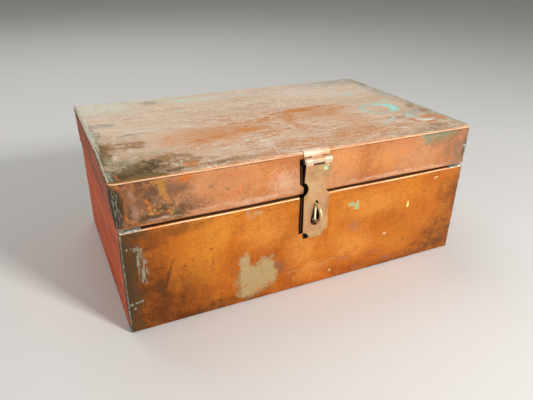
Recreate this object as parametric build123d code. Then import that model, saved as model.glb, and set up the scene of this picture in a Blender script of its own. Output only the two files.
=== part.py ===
from build123d import *

import math
import os

# Small copper sheet trunk with a hinged lid, a brass hasp and a wire staple.
# Millimetres. +X runs along the length to the right, +Y to the back, +Z up.
# The origin is the middle of the base, on the surface that the box stands on.

# Body: one bent trough (front, bottom, back) and two end walls
body_length = 340.0
body_depth = 215.0
sheet = 0.8
bottom_bend_radius = 2.5
shelf_height = 96.0
shelf_width = 4.2
shoulder_radius = 2.0
rim_height = 12.0
rim_root_radius = 1.0

# Lid: one bent sheet (front, top, back) and two end walls with a proud upper edge
lid_gap = 2.8
lid_skirt_height = 38.5
lid_bend_radius = 3.0
lid_end_overhang = 1.0
lid_front_inset = 0.8
lid_lip = 0.6

# Solder
seam_fillet = 1.5
seam_round = 0.6
lip_solder_width = 1.4
shelf_solder_front_reach = 17.0
shelf_solder_end_reach = 12.0
shelf_solder_edge_inset = 0.4
shelf_solder_tail = 0.5
lid_rest_gap = 0.3

# Hasp
hasp_x = -1.4
hasp_width = 25.0
hasp_sheet = 1.1
hasp_pin_radius = 1.6
hasp_axis_drop = 7.4
hasp_barrel_gap = 0.35
hasp_middle_knuckle = 10.3
hasp_leaf_sheet = 1.0
hasp_leaf_top_reach = 0.8
hasp_leaf_solder_leg = 0.7
hasp_bend_drop = 17.9
hasp_bend_standoff = 3.4
hasp_bend_radius = 30.0
hasp_length = 73.5
hasp_tip_standoff = 4.9
hasp_knuckle_slot_drop = 3.5
hasp_notch_radius = 7.0
hasp_notch_depth = 4.1
hasp_notch_rise = 5.9
hasp_corner_radius = 6.0
slot_top_radius = 1.9
slot_bottom_radius = 5.0
slot_top_above_staple = 10.2
slot_bottom_below_staple = 7.1

# Staple
wire_radius = 1.5
staple_loop_radius = 8.0
staple_reach = 14.4
staple_head_radius = 2.1
staple_head_thickness = 0.8
staple_link_radius = 1.0
staple_link_reach = 2.8
backing_plate_width = 14.0
backing_plate_margin = 5.5
backing_plate_thickness = 1.0
backing_plate_corner = 2.0
backing_plate_top_gap = 0.1

# Back hinges
hinge_end_inset = 60.0
hinge_length = 38.0
hinge_knuckles = 5
hinge_leaf_sheet = 1.0
hinge_pin_radius = 1.25
hinge_leaf_height = 14.0
hinge_leaf_corner = 2.0

# Rivets
rivet_radius = 1.0
rivet_head_radius = 2.2
rivet_head_height = 0.9
rivet_inner_head_height = 0.7
rivets_per_leaf = 3
rivet_row_offset = 9.5
rivet_end_margin = 6.0

# Clearances
pin_clearance = 0.05
hole_clearance = 0.05
knuckle_gap = 0.3
leaf_cutout_gap = 0.5
pin_head_radius_extra = 0.7
pin_head_thickness = 0.8

# Places worked out from the sizes above
half_length = body_length / 2
half_depth = body_depth / 2
rim_top = shelf_height + rim_height
wall_top = shelf_height - shoulder_radius
lid_bottom = shelf_height + lid_gap
lid_top = lid_bottom + lid_skirt_height
lid_half_length = half_length + lid_end_overhang
lid_front = -half_depth + lid_front_inset
lid_back = half_depth
hasp_knuckle_radius = hasp_pin_radius + pin_clearance + hasp_sheet
hasp_axis_z = lid_top - hasp_axis_drop
hasp_axis_y = lid_front - hasp_barrel_gap - hasp_knuckle_radius
hinge_knuckle_radius = hinge_pin_radius + pin_clearance + hinge_leaf_sheet
hinge_axis_y = half_depth + hinge_knuckle_radius
hinge_axis_z = shelf_height + lid_gap / 2
staple_height = wall_top - backing_plate_top_gap - backing_plate_margin - staple_loop_radius


def prism(outline, axis, start, end):
    """Extrude a flat outline along an axis from start to end.

    The outline lies in (Y, Z) for axis "x", in (X, Z) for "y" and in (X, Y) for "z".
    """
    planes = {
        "x": Plane((start, 0, 0), x_dir=(0, 1, 0), z_dir=(1, 0, 0)),
        "y": Plane((0, end, 0), x_dir=(1, 0, 0), z_dir=(0, -1, 0)),
        "z": Plane((0, 0, start), x_dir=(1, 0, 0), z_dir=(0, 0, 1)),
    }
    return extrude(planes[axis] * outline, end - start)


def outline(points, radii=None):
    """Face bounded by a closed polyline, with a radius at each corner (0 leaves it sharp)."""
    if radii is None:
        radii = [0.0] * len(points)
    return make_face(FilletPolyline(*points, radius=radii, close=True))


def rectangle(u_span, v_span):
    """Flat rectangle between two values on each of an outline's two coordinates."""
    low_u, high_u = u_span
    low_v, high_v = v_span
    return outline([(low_u, low_v), (high_u, low_v), (high_u, high_v), (low_u, high_v)])


def span_box(x_span, y_span, z_span):
    """Box between two values on each axis."""
    return prism(rectangle(x_span, y_span), "z", z_span[0], z_span[1])


def rod(axis, centre, radius, start, end):
    """Round bar along an axis; the centre is given in the same two coordinates as a prism's outline."""
    return prism(Pos(centre[0], centre[1]) * Circle(radius), axis, start, end)


def mirrored_pair(shape, plane):
    """The shape and its mirror image."""
    return [shape, mirror(shape, about=plane)]


# Body


def body_section(half_width, bottom_radius, inset):
    """Upright section through a body block with its shoulder and neck, moved inwards by inset."""
    side = half_width - inset
    neck = half_width - shelf_width - inset
    shelf = shelf_height - inset
    points = [
        (-side, inset),
        (side, inset),
        (side, shelf),
        (neck, shelf),
        (neck, rim_top),
        (-neck, rim_top),
        (-neck, shelf),
        (-side, shelf),
    ]
    bottom = max(bottom_radius - inset, 0.0)
    shoulder = shoulder_radius - inset
    root = rim_root_radius + inset
    return outline(points, [bottom, bottom, shoulder, root, 0.0, 0.0, root, shoulder])


def body_block():
    """Solid block with the body's outer shape."""
    across = prism(body_section(half_depth, bottom_bend_radius, 0.0), "x", -half_length, half_length)
    along = prism(body_section(half_length, 0.0, 0.0), "y", -half_depth, half_depth)
    return across & along


def end_zone():
    """Right end's share of the shelf and rim: the wedge between the two corner diagonals."""
    corner = half_depth
    wedge = outline([(half_length, -corner), (half_length, corner), (half_length - half_depth, 0.0)])
    return prism(wedge, "z", wall_top, rim_top)


def corner_post():
    """Square post in the right back corner of the shelf, where the edges of the sheets leave a groove."""
    x_span = (half_length - sheet, half_length)
    y_span = (half_depth - sheet, half_depth)
    return span_box(x_span, y_span, (wall_top, rim_top))


def bent_sheet(half_width, bottom_radius):
    """Section of the bent sheet itself: walls and floor one sheet thick, with shelf and rim."""
    return body_section(half_width, bottom_radius, 0.0) - body_section(half_width, bottom_radius, sheet)


def body_trough():
    """Front wall, bottom and back wall, with the corners of the shelf and rim mitred."""
    inner_end = half_length - sheet
    trough = prism(bent_sheet(half_depth, bottom_bend_radius), "x", -inner_end, inner_end)
    return trough - end_zone() - mirror(end_zone(), about=Plane.YZ)


def body_end():
    """Right end wall, with its share of the shelf and rim."""
    inner_end = half_length - sheet
    inner_side = half_depth - sheet
    wall = prism(body_section(half_depth, bottom_bend_radius, sheet), "x", inner_end, half_length)
    wall = wall & span_box((inner_end, half_length), (-inner_side, inner_side), (sheet, wall_top))
    neck = prism(bent_sheet(half_length, 0.0), "y", -inner_side, inner_side) & end_zone()
    return wall + neck


def groove_solder():
    """Solder in the groove round the right end wall: up both corners and under the end."""
    inner_end = half_length - sheet
    bead = prism(bent_sheet(half_depth, bottom_bend_radius), "x", inner_end, half_length)
    bead = bead & span_box((inner_end, half_length), (-half_depth, half_depth), (0.0, wall_top))
    outer_edges = [
        edge
        for edge in bead.edges().filter_by(Axis.Z)
        if edge.center().X > half_length - sheet / 2 and abs(edge.center().Y) > half_depth - sheet / 2
    ]
    return fillet(outer_edges, seam_round)


def inner_fillets(end_x, side_y, low, high, panel_z, inward, bend_radius):
    """Three solder fillets inside the right end: both upright corners, then along the floor or the lid's top.

    The panel at panel_z is the floor (inward 1) or the lid's top (inward -1).
    """
    pieces = []
    for y_side in (-1, 1):
        y = y_side * side_y
        corner = outline([(end_x, y), (end_x - seam_fillet, y), (end_x, y - y_side * seam_fillet)])
        pieces.append(prism(corner, "z", low, high))
    far_z = panel_z + inward * seam_fillet
    along = outline([(end_x, panel_z), (end_x - seam_fillet, panel_z), (end_x, far_z)])
    half_run = side_y - bend_radius - seam_fillet
    pieces.append(prism(along, "y", -half_run, half_run))
    return pieces


def body_seam_solder():
    """Groove beads and inner fillets of both ends."""
    end_x = half_length - sheet
    side_y = half_depth - sheet
    low = bottom_bend_radius + seam_fillet
    fillets = inner_fillets(end_x, side_y, low, wall_top - seam_fillet, sheet, 1, bottom_bend_radius)
    pieces = [groove_solder()] + fillets
    return [copy for piece in pieces for copy in mirrored_pair(piece, Plane.YZ)]


def solder_arm(thin_end, edge, full_end):
    """Side view of one arm of a corner lump: full height at the corner, thinning along the shelf."""
    top = lid_bottom - lid_rest_gap
    tail = shelf_height + shelf_solder_tail
    return outline([(thin_end, wall_top), (edge, wall_top), (edge, top), (full_end, top), (thin_end, tail)])


def shelf_corner_solder():
    """Four lumps of solder that fill the shelf's corners nearly up to the closed lid."""
    edge_x = half_length - shelf_solder_edge_inset
    edge_y = half_depth - shelf_solder_edge_inset
    rim_x = half_length - shelf_width
    rim_y = half_depth - shelf_width
    front_end = half_length - shelf_solder_front_reach
    side_end = half_depth - shelf_solder_end_reach
    front_arm = solder_arm(front_end, edge_x, rim_x)
    side_arm = solder_arm(side_end, edge_y, rim_y)
    lump = prism(front_arm, "y", rim_y, edge_y) + prism(side_arm, "x", rim_x, edge_x)
    lump = lump - (body_block() - corner_post())
    front_pair = mirrored_pair(mirror(lump, about=Plane.XZ), Plane.YZ)
    return mirrored_pair(lump, Plane.YZ) + front_pair


# Lid


def lid_section(inset, skirt_end):
    """Closed section of the lid in (Y, Z), moved inwards by inset, down to skirt_end."""
    front = lid_front + inset
    back = lid_back - inset
    top = lid_top - inset
    bend = lid_bend_radius - inset
    return outline([(front, skirt_end), (back, skirt_end), (back, top), (front, top)], [0.0, 0.0, bend, bend])


def lid_sheet():
    """Top with front and back skirts."""
    inner_end = lid_half_length - sheet
    outer = prism(lid_section(0.0, lid_bottom), "x", -inner_end, inner_end)
    hollow = prism(lid_section(sheet, lid_bottom), "x", -inner_end, inner_end)
    return outer - hollow


def lid_end():
    """Right end of the lid; its upper edge stands above the sheet as a lip."""
    front = lid_front + sheet
    back = lid_back - sheet
    top = lid_top + lid_lip
    face = outline(
        [(front, lid_bottom), (back, lid_bottom), (back, top), (front, top)],
        [0.0, 0.0, lid_bend_radius, lid_bend_radius],
    )
    return prism(face, "x", lid_half_length - sheet, lid_half_length)


def lid_seam_solder():
    """Corner beads, lip fillets and inner fillets of both ends of the lid."""
    inner_end = lid_half_length - sheet
    bend_start = lid_top - lid_bend_radius
    pieces = []
    for outer, inner in ((lid_front, lid_front + sheet), (lid_back, lid_back - sheet)):
        post_face = rectangle((inner_end, lid_half_length), sorted((outer, inner)))
        post = prism(post_face, "z", lid_bottom, bend_start)
        arris = post.edges().filter_by(Axis.Z).sort_by_distance((lid_half_length, outer, bend_start))[0]
        pieces.append(fillet(arris, seam_round))
    lip_top = lid_top + lid_lip
    lip = outline([(inner_end, lid_top), (inner_end - lip_solder_width, lid_top), (inner_end, lip_top)])
    pieces.append(prism(lip, "y", lid_front + lid_bend_radius, lid_back - lid_bend_radius))
    middle = (lid_front + lid_back) / 2
    side = (lid_back - lid_front) / 2 - sheet
    low = lid_bottom + seam_fillet
    for piece in inner_fillets(inner_end, side, low, bend_start, lid_top - sheet, -1, lid_bend_radius):
        pieces.append(Pos(0, middle, 0) * piece)
    return [copy for piece in pieces for copy in mirrored_pair(piece, Plane.YZ)]


# Hasp


def hasp_ring(start, end):
    """Knuckle blank of the hasp's barrel between two places along its width."""
    return rod("x", (hasp_axis_y, hasp_axis_z), hasp_knuckle_radius, hasp_x + start, hasp_x + end)


def hasp_bore():
    """Hole for the hasp's pin, right through the barrel."""
    half = hasp_width / 2
    return rod("x", (hasp_axis_y, hasp_axis_z), hasp_pin_radius + pin_clearance, hasp_x - half, hasp_x + half)


def hasp_fixed_leaf():
    """Leaf bent over the lid's front edge, with the middle knuckle."""
    half = hasp_width / 2
    middle = hasp_middle_knuckle / 2
    front = lid_front - hasp_leaf_sheet
    top = lid_top + hasp_leaf_sheet
    rear = lid_front + lid_bend_radius + hasp_leaf_top_reach
    bend = lid_bend_radius + hasp_leaf_sheet
    corners = [(front, hasp_axis_z), (rear, hasp_axis_z), (rear, top), (front, top)]
    strip = prism(outline(corners, [0.0, 0.0, 0.0, bend]), "x", hasp_x - half, hasp_x + half)
    strip = strip - prism(lid_section(0.0, lid_bottom), "x", hasp_x - half, hasp_x + half)
    leaf = strip + hasp_ring(-middle, middle)
    cut_top = hasp_axis_z + hasp_knuckle_radius + leaf_cutout_gap
    for side in (-1, 1):
        x_span = sorted((hasp_x + side * middle, hasp_x + side * half))
        leaf = leaf - span_box(x_span, (front - hasp_barrel_gap, rear), (hasp_axis_z, cut_top))
    return leaf - hasp_bore()


def hasp_leaf_solder():
    """Fillets along the rear and side edges of the fixed leaf, on the lid's top."""
    leg = hasp_leaf_solder_leg
    half = hasp_width / 2
    bend_end = lid_front + lid_bend_radius
    rear = bend_end + hasp_leaf_top_reach
    rear_fillet = outline([(rear, lid_top), (rear + leg, lid_top), (rear, lid_top + leg)])
    pieces = [prism(rear_fillet, "x", hasp_x - half, hasp_x + half)]
    for side in (-1, 1):
        edge = hasp_x + side * half
        side_fillet = outline([(edge, lid_top), (edge + side * leg, lid_top), (edge, lid_top + leg)])
        pieces.append(prism(side_fillet, "y", bend_end, rear))
    return pieces


def drop_outline(centre_x, top_z, bottom_z):
    """Drop shape: a small round top and a large round bottom joined by straight sides."""
    height = top_z - bottom_z
    tilt = math.asin((slot_bottom_radius - slot_top_radius) / height)
    top = Pos(centre_x, top_z) * Circle(slot_top_radius)
    bottom = Pos(centre_x, bottom_z) * Circle(slot_bottom_radius)
    sides = [
        (centre_x + slot_bottom_radius * math.cos(tilt), bottom_z + slot_bottom_radius * math.sin(tilt)),
        (centre_x + slot_top_radius * math.cos(tilt), top_z + slot_top_radius * math.sin(tilt)),
        (centre_x - slot_top_radius * math.cos(tilt), top_z + slot_top_radius * math.sin(tilt)),
        (centre_x - slot_bottom_radius * math.cos(tilt), bottom_z + slot_bottom_radius * math.sin(tilt)),
    ]
    return outline(sides) + top + bottom


def hasp_plate_face():
    """Front view of the swinging plate in (X, Z)."""
    half = hasp_width / 2
    low = hasp_axis_z - hasp_length
    high = hasp_axis_z + hasp_knuckle_radius
    face = outline([(hasp_x - half, low), (hasp_x + half, low), (hasp_x + half, high), (hasp_x - half, high)])
    notch_out = half + hasp_notch_radius - hasp_notch_depth
    notch_z = shelf_height + lid_gap + hasp_notch_rise
    for side in (-1, 1):
        face = face - Pos(hasp_x + side * notch_out, notch_z) * Circle(hasp_notch_radius)
        face = face - Pos(hasp_x + side * half, low) * Circle(hasp_corner_radius)
    top_z = staple_height + slot_top_above_staple
    bottom_z = staple_height - slot_bottom_below_staple
    face = face - drop_outline(hasp_x, top_z, bottom_z)
    gap = hasp_middle_knuckle / 2 + knuckle_gap
    slot_low = hasp_axis_z - hasp_knuckle_slot_drop
    return face - outline(
        [(hasp_x - gap, slot_low), (hasp_x + gap, slot_low), (hasp_x + gap, high), (hasp_x - gap, high)]
    )


def hasp_plate():
    """Swinging plate: a strip with one shallow bend, cut to its front view, and its two knuckles."""
    half = hasp_width / 2
    outer_top = hasp_axis_y - hasp_knuckle_radius
    bend_y = -half_depth - hasp_bend_standoff
    tip_y = -half_depth - hasp_tip_standoff
    bend_z = hasp_axis_z - hasp_bend_drop
    tip_z = hasp_axis_z - hasp_length
    side = outline(
        [
            (outer_top, hasp_axis_z),
            (bend_y, bend_z),
            (tip_y, tip_z),
            (tip_y + hasp_sheet, tip_z),
            (bend_y + hasp_sheet, bend_z),
            (outer_top + hasp_sheet, hasp_axis_z),
        ],
        [0.0, hasp_bend_radius, 0.0, 0.0, hasp_bend_radius + hasp_sheet, 0.0],
    )
    strip = prism(side, "x", hasp_x - half, hasp_x + half)
    plate = strip & prism(hasp_plate_face(), "y", tip_y - hasp_length, 0.0)
    inner = hasp_middle_knuckle / 2 + knuckle_gap
    plate = plate + hasp_ring(-half, -inner) + hasp_ring(inner, half)
    return plate - hasp_bore()


def headed_pin(centre, radius, start, end):
    """Pin along X with a formed head on each end, outside the barrel."""
    head_radius = radius + pin_head_radius_extra
    left_head = rod("x", centre, head_radius, start - pin_head_thickness, start)
    right_head = rod("x", centre, head_radius, end, end + pin_head_thickness)
    left_rim = left_head.edges().filter_by(GeomType.CIRCLE).sort_by(Axis.X)[0]
    right_rim = right_head.edges().filter_by(GeomType.CIRCLE).sort_by(Axis.X)[-1]
    heads = fillet(left_rim, pin_head_thickness / 2) + fillet(right_rim, pin_head_thickness / 2)
    return rod("x", centre, radius, start, end) + heads


def hasp_pin():
    """Pin of the hasp's barrel."""
    half = hasp_width / 2 + knuckle_gap
    return headed_pin((hasp_axis_y, hasp_axis_z), hasp_pin_radius, hasp_x - half, hasp_x + half)


# Staple


def staple():
    """Wire loop closed by a thinner link, with two legs through the wall that are headed over inside."""
    inside = -half_depth + sheet + backing_plate_thickness
    straight_end = -half_depth - staple_reach + wire_radius + staple_loop_radius
    upper = staple_height + staple_loop_radius
    lower = staple_height - staple_loop_radius
    end = inside + staple_head_thickness
    run = Line((hasp_x, end, upper), (hasp_x, straight_end, upper))
    tip = (hasp_x, straight_end - staple_loop_radius, staple_height)
    bend = ThreePointArc((hasp_x, straight_end, upper), tip, (hasp_x, straight_end, lower))
    back = Line((hasp_x, straight_end, lower), (hasp_x, end, lower))
    section = Plane(origin=(hasp_x, end, upper), z_dir=(0, -1, 0)) * Circle(wire_radius)
    loop = sweep(section, path=Wire([run.edge(), bend.edge(), back.edge()]))
    loop = loop + rod("z", (hasp_x, -half_depth - staple_link_reach), staple_link_radius, lower, upper)
    for z in (upper, lower):
        loop = loop + rod("y", (hasp_x, z), staple_head_radius, inside, end)
    return loop


def staple_hole(start, end):
    """Clear holes for the staple's two legs."""
    radius = wire_radius + hole_clearance
    upper = rod("y", (hasp_x, staple_height + staple_loop_radius), radius, start, end)
    lower = rod("y", (hasp_x, staple_height - staple_loop_radius), radius, start, end)
    return upper + lower


def staple_backing_plate():
    """Plate inside the front wall behind the staple."""
    height = 2 * (staple_loop_radius + backing_plate_margin)
    face = Pos(hasp_x, staple_height) * RectangleRounded(backing_plate_width, height, backing_plate_corner)
    front = -half_depth + sheet
    rear = front + backing_plate_thickness
    return prism(face, "y", front, rear) - staple_hole(front, rear)


# Back hinges


def knuckle_spans(first):
    """Every second knuckle along a hinge, with half a gap cut from each inner end."""
    pitch = hinge_length / hinge_knuckles
    spans = []
    for index in range(first, hinge_knuckles, 2):
        start = -hinge_length / 2 + index * pitch
        low = start + (knuckle_gap / 2 if index > 0 else 0.0)
        high = start + pitch - (knuckle_gap / 2 if index < hinge_knuckles - 1 else 0.0)
        spans.append((low, high))
    return spans


def hinge_axis_rod(radius, start, end):
    """Round bar on the back hinges' axis."""
    return rod("x", (hinge_axis_y, hinge_axis_z), radius, start, end)


def hinge_leaf(centre_x, side, own_first):
    """One leaf of a back hinge: side -1 lies on the body, side 1 on the lid's skirt."""
    half = hinge_length / 2
    far_z = hinge_axis_z + side * hinge_leaf_height
    left = centre_x - half
    right = centre_x + half
    corners = [(left, hinge_axis_z), (right, hinge_axis_z), (right, far_z), (left, far_z)]
    sheet_face = outline(corners, [0.0, 0.0, hinge_leaf_corner, hinge_leaf_corner])
    leaf = prism(sheet_face, "y", half_depth, half_depth + hinge_leaf_sheet)
    reach = hinge_knuckle_radius + leaf_cutout_gap
    cut_z = sorted((hinge_axis_z, hinge_axis_z + side * reach))
    for low, high in knuckle_spans(1 - own_first):
        x_span = (centre_x + low - knuckle_gap, centre_x + high + knuckle_gap)
        leaf = leaf - span_box(x_span, (half_depth, half_depth + hinge_leaf_sheet), cut_z)
    for low, high in knuckle_spans(own_first):
        leaf = leaf + hinge_axis_rod(hinge_knuckle_radius, centre_x + low, centre_x + high)
    leaf = leaf - hinge_axis_rod(hinge_pin_radius + pin_clearance, left, right)
    return leaf - rivet_holes(side, half_depth, half_depth + hinge_leaf_sheet)


def rivet_places(centre_x):
    """Places of one leaf's rivets along X."""
    run = hinge_length - 2 * rivet_end_margin
    step = run / (rivets_per_leaf - 1)
    return [centre_x - run / 2 + index * step for index in range(rivets_per_leaf)]


def hinge_centres():
    """Middles of the two back hinges along X."""
    return (hinge_end_inset - half_length, half_length - hinge_end_inset)


def rivet(x, z):
    """Rivet through a leaf and a wall of the sheet, domed outside and flat inside."""
    outer = half_depth + hinge_leaf_sheet
    inner = half_depth - sheet
    shank = rod("y", (x, z), rivet_radius, inner, outer)
    tail = rod("y", (x, z), rivet_head_radius, inner - rivet_inner_head_height, inner)
    dome_radius = (rivet_head_radius**2 + rivet_head_height**2) / (2 * rivet_head_height)
    ball = Pos(x, outer + rivet_head_height - dome_radius, z) * Sphere(dome_radius)
    reach = dome_radius
    dome = ball & span_box((x - reach, x + reach), (outer, outer + reach), (z - reach, z + reach))
    return shank + tail + dome


def rivet_row(side):
    """All rivets of both hinges on the body (side -1) or on the lid (side 1)."""
    row_z = hinge_axis_z + side * rivet_row_offset
    return [rivet(x, row_z) for centre_x in hinge_centres() for x in rivet_places(centre_x)]


def rivet_holes(side, start, end):
    """Clear holes for the same rivets between two places along Y."""
    row_z = hinge_axis_z + side * rivet_row_offset
    holes = Part()
    for centre_x in hinge_centres():
        for x in rivet_places(centre_x):
            holes = holes + rod("y", (x, row_z), rivet_radius + hole_clearance, start, end)
    return holes


def hinge_pin(centre_x):
    """Pin of one back hinge."""
    half = hinge_length / 2
    centre = (hinge_axis_y, hinge_axis_z)
    return headed_pin(centre, hinge_pin_radius, centre_x - half, centre_x + half)


def build():
    """All pieces, each under its node's name."""
    right_end = body_end()
    front = -half_depth
    staple_holes = staple_hole(front, front + sheet)
    back_sheet = (half_depth - sheet, half_depth)
    nodes = {
        "body_trough": body_trough() - staple_holes - rivet_holes(-1, *back_sheet),
        "body_right_end": right_end,
        "body_left_end": mirror(right_end, about=Plane.YZ),
        "body_seam_solder": body_seam_solder(),
        "shelf_corner_solder": shelf_corner_solder(),
        "lid_sheet": lid_sheet() - rivet_holes(1, *back_sheet),
        "lid_right_end": lid_end(),
        "lid_left_end": mirror(lid_end(), about=Plane.YZ),
        "lid_seam_solder": lid_seam_solder(),
        "hasp_fixed_leaf": hasp_fixed_leaf(),
        "hasp_leaf_solder": hasp_leaf_solder(),
        "hasp_plate": hasp_plate(),
        "hasp_pin": hasp_pin(),
        "staple": staple(),
        "staple_backing_plate": staple_backing_plate(),
        "hinge_body_rivets": rivet_row(-1),
        "hinge_lid_rivets": rivet_row(1),
    }
    for side_name, centre_x in zip(("left", "right"), hinge_centres()):
        nodes[f"{side_name}_hinge_body_leaf"] = hinge_leaf(centre_x, -1, 0)
        nodes[f"{side_name}_hinge_lid_leaf"] = hinge_leaf(centre_x, 1, 1)
        nodes[f"{side_name}_hinge_pin"] = hinge_pin(centre_x)
    return nodes


def solids_of(piece):
    """Every solid of a piece, or of a list of pieces, as one list."""
    pieces = piece if isinstance(piece, list) else [piece]
    return [solid for item in pieces for solid in item.solids()]


os.makedirs("parts", exist_ok=True)
for node, piece in build().items():
    solids = solids_of(piece)
    export_step(solids[0] if len(solids) == 1 else Compound(solids), f"parts/{node}.step")
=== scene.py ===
"""Looks of a small copper trunk: hinged lid, brass hasp and wire staple.

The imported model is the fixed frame. The copper sheets and the solder are remade from it with the
knocks and waves of old sheet metal, and every piece gets its own finish.
"""

from __future__ import annotations

import logging
import math
from dataclasses import dataclass, field
from enum import Enum
from typing import Any, Callable, Sequence, TypeAlias

import bmesh
import bpy
from mathutils import Matrix, Vector, noise

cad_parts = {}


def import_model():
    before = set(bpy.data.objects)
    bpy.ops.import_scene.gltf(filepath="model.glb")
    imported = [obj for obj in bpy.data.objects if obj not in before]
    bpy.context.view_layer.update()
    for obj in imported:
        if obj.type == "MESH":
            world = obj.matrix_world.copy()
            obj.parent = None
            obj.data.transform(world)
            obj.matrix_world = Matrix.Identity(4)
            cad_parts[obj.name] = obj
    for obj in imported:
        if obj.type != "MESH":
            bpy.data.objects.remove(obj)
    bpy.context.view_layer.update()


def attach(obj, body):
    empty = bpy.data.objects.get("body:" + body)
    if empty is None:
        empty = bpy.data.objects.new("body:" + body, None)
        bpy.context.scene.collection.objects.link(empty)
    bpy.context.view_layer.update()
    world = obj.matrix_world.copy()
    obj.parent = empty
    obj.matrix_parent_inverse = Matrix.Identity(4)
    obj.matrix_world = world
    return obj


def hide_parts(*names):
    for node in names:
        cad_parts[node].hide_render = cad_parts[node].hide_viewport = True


LOG = logging.getLogger("trunk")
MM = 0.001

Colour: TypeAlias = tuple[int, int, int]
Triple: TypeAlias = tuple[float, float, float]
Value: TypeAlias = "Layer | float"
Tone: TypeAlias = "Layer | Colour"
Socket: TypeAlias = bpy.types.NodeSocket
Material: TypeAlias = bpy.types.Material
Piece: TypeAlias = bpy.types.Object

# The trunk's main places in millimetres, as in the frame
BODY_LEFT = -170.0
BODY_RIGHT = 170.0
BODY_FRONT = -107.5
BODY_BACK = 107.5
SHELF_TOP = 96.0
LID_LEFT = -171.0
LID_RIGHT = 171.0
LID_FRONT = -106.7
LID_BACK = 107.5
LID_BOTTOM = 98.8
LID_TOP = 137.3
HASP_MIDDLE = -1.4
STAPLE_HEIGHT = 80.4
NOTCH_HEIGHT = 102.0
BARREL_FOOT = 126.8
BARREL_TOP = 133.0


def linear(colour: Colour) -> tuple[float, float, float, float]:
    """Turn a colour as it looks on a screen into the numbers that the light works with.

    Args:
        colour: Red, green and blue from 0 to 255.

    Returns:
        Linear red, green, blue and a full alpha.
    """
    shares = [part / 255.0 for part in colour]
    red, green, blue = (part / 12.92 if part <= 0.04045 else ((part + 0.055) / 1.055) ** 2.4 for part in shares)
    return (red, green, blue, 1.0)


def ease(value: float, low: float, high: float) -> float:
    """Smooth step from 0 at low to 1 at high."""
    share = min(max((value - low) / (high - low), 0.0), 1.0)
    return share * share * (3.0 - 2.0 * share)


# --- Stains ---


class Side(Enum):
    """Side of the trunk that a stain lies on."""

    FRONT = "front"
    TOP = "top"


class Grain(Enum):
    """How the border of a stain breaks up: scale, detail, roughness, twist and turn of its noise."""

    FINE = (560.0, 5.0, 0.75)
    CLOUD = (120.0, 9.0, 0.78, 0.3)
    STREAK = ((42.0, 380.0, 380.0), 8.0, 0.78, 0.5, (0.0, 0.0, 3.0))
    DRIP = ((1250.0, 1250.0, 85.0), 5.0, 0.7, 0.2)


FINE, CLOUD, STREAK, DRIP = Grain


@dataclass(frozen=True)
class Blob:
    """One soft ellipse of a stain, in millimetres from the body's left end and its foot or front."""

    along: float
    up: float
    reach_along: float
    reach_up: float
    turn: float = 0.0


@dataclass(frozen=True)
class Stain:
    """One stain: its colour, its blobs as rows of numbers, and how it lies on the metal."""

    colour: Colour
    spots: tuple[tuple[float, ...], ...]
    strength: float = 1.0
    soft: float = 0.35
    ragged: float = 0.5
    grain: Grain = CLOUD
    dull: float = 0.7
    raised: float = 0.0
    ring: float = 0.0
    gaps: float = 0.0
    window: Blob | None = None


# --- Material bench ---


class Layer:
    """A value or a colour of a material, to be reckoned with and laid over others."""

    def __init__(self, bench: Bench, socket: Socket) -> None:
        """Keep a socket together with its bench."""
        self.bench = bench
        self.socket = socket

    def calc(self, operation: str, other: Value = 0.0) -> Layer:
        """One step of arithmetic with another value."""
        return self.bench.lay("Math", "Value", {0: self, 1: other}, operation=operation)

    def __add__(self, other: Value) -> Layer:
        """Sum of two values."""
        return self.calc("ADD", other)

    def __sub__(self, other: Value) -> Layer:
        """Difference of two values."""
        return self.calc("SUBTRACT", other)

    def __mul__(self, other: Value) -> Layer:
        """Product of two values."""
        return self.calc("MULTIPLY", other)

    def __or__(self, other: Value) -> Layer:
        """The greater of two values."""
        return self.calc("MAXIMUM", other)

    def __abs__(self) -> Layer:
        """The value without its sign."""
        return self.calc("ABSOLUTE")

    def step(self, low: float, high: float, least: float = 0.0, most: float = 1.0) -> Layer:
        """Smooth step between two levels, from least at low to most at high."""
        if low > high:
            low, high, least, most = high, low, most, least
        inputs = {"From Min": low, "From Max": high, "To Min": least, "To Max": most, "Value": self}
        return self.bench.lay("MapRange", "Result", inputs, interpolation_type="SMOOTHSTEP")

    def band(self, low: float, high: float, soft: float) -> Layer:
        """Value that is 1 between two levels and falls softly to 0 outside them."""
        return self.step(low - soft, low + soft) * self.step(high - soft, high + soft, 1.0, 0.0)

    def ramp(self, *stops: tuple[float, Colour]) -> Layer:
        """Colour that runs through the stops as the value grows."""
        result = self.bench.lay("ValToRGB", "Color", {"Fac": self})
        elements = result.socket.node.color_ramp.elements
        while len(elements) < len(stops):
            elements.new(0.5)
        for element, (place, colour) in zip(elements, stops):
            element.position = place
            element.color = linear(colour)
        return result

    def covered(self, tone: Tone, share: Value, blend: str = "MIX") -> Layer:
        """This colour with another laid over it.

        Args:
            tone: The upper colour.
            share: How much of it shows.
            blend: Blender's name for the way they mix.

        Returns:
            The mixed colour.
        """
        over = tone if isinstance(tone, Layer) else linear(tone)
        return self.bench.lay("Mix", 2, {0: share, 6: self, 7: over}, data_type="RGBA", blend_type=blend)


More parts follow.
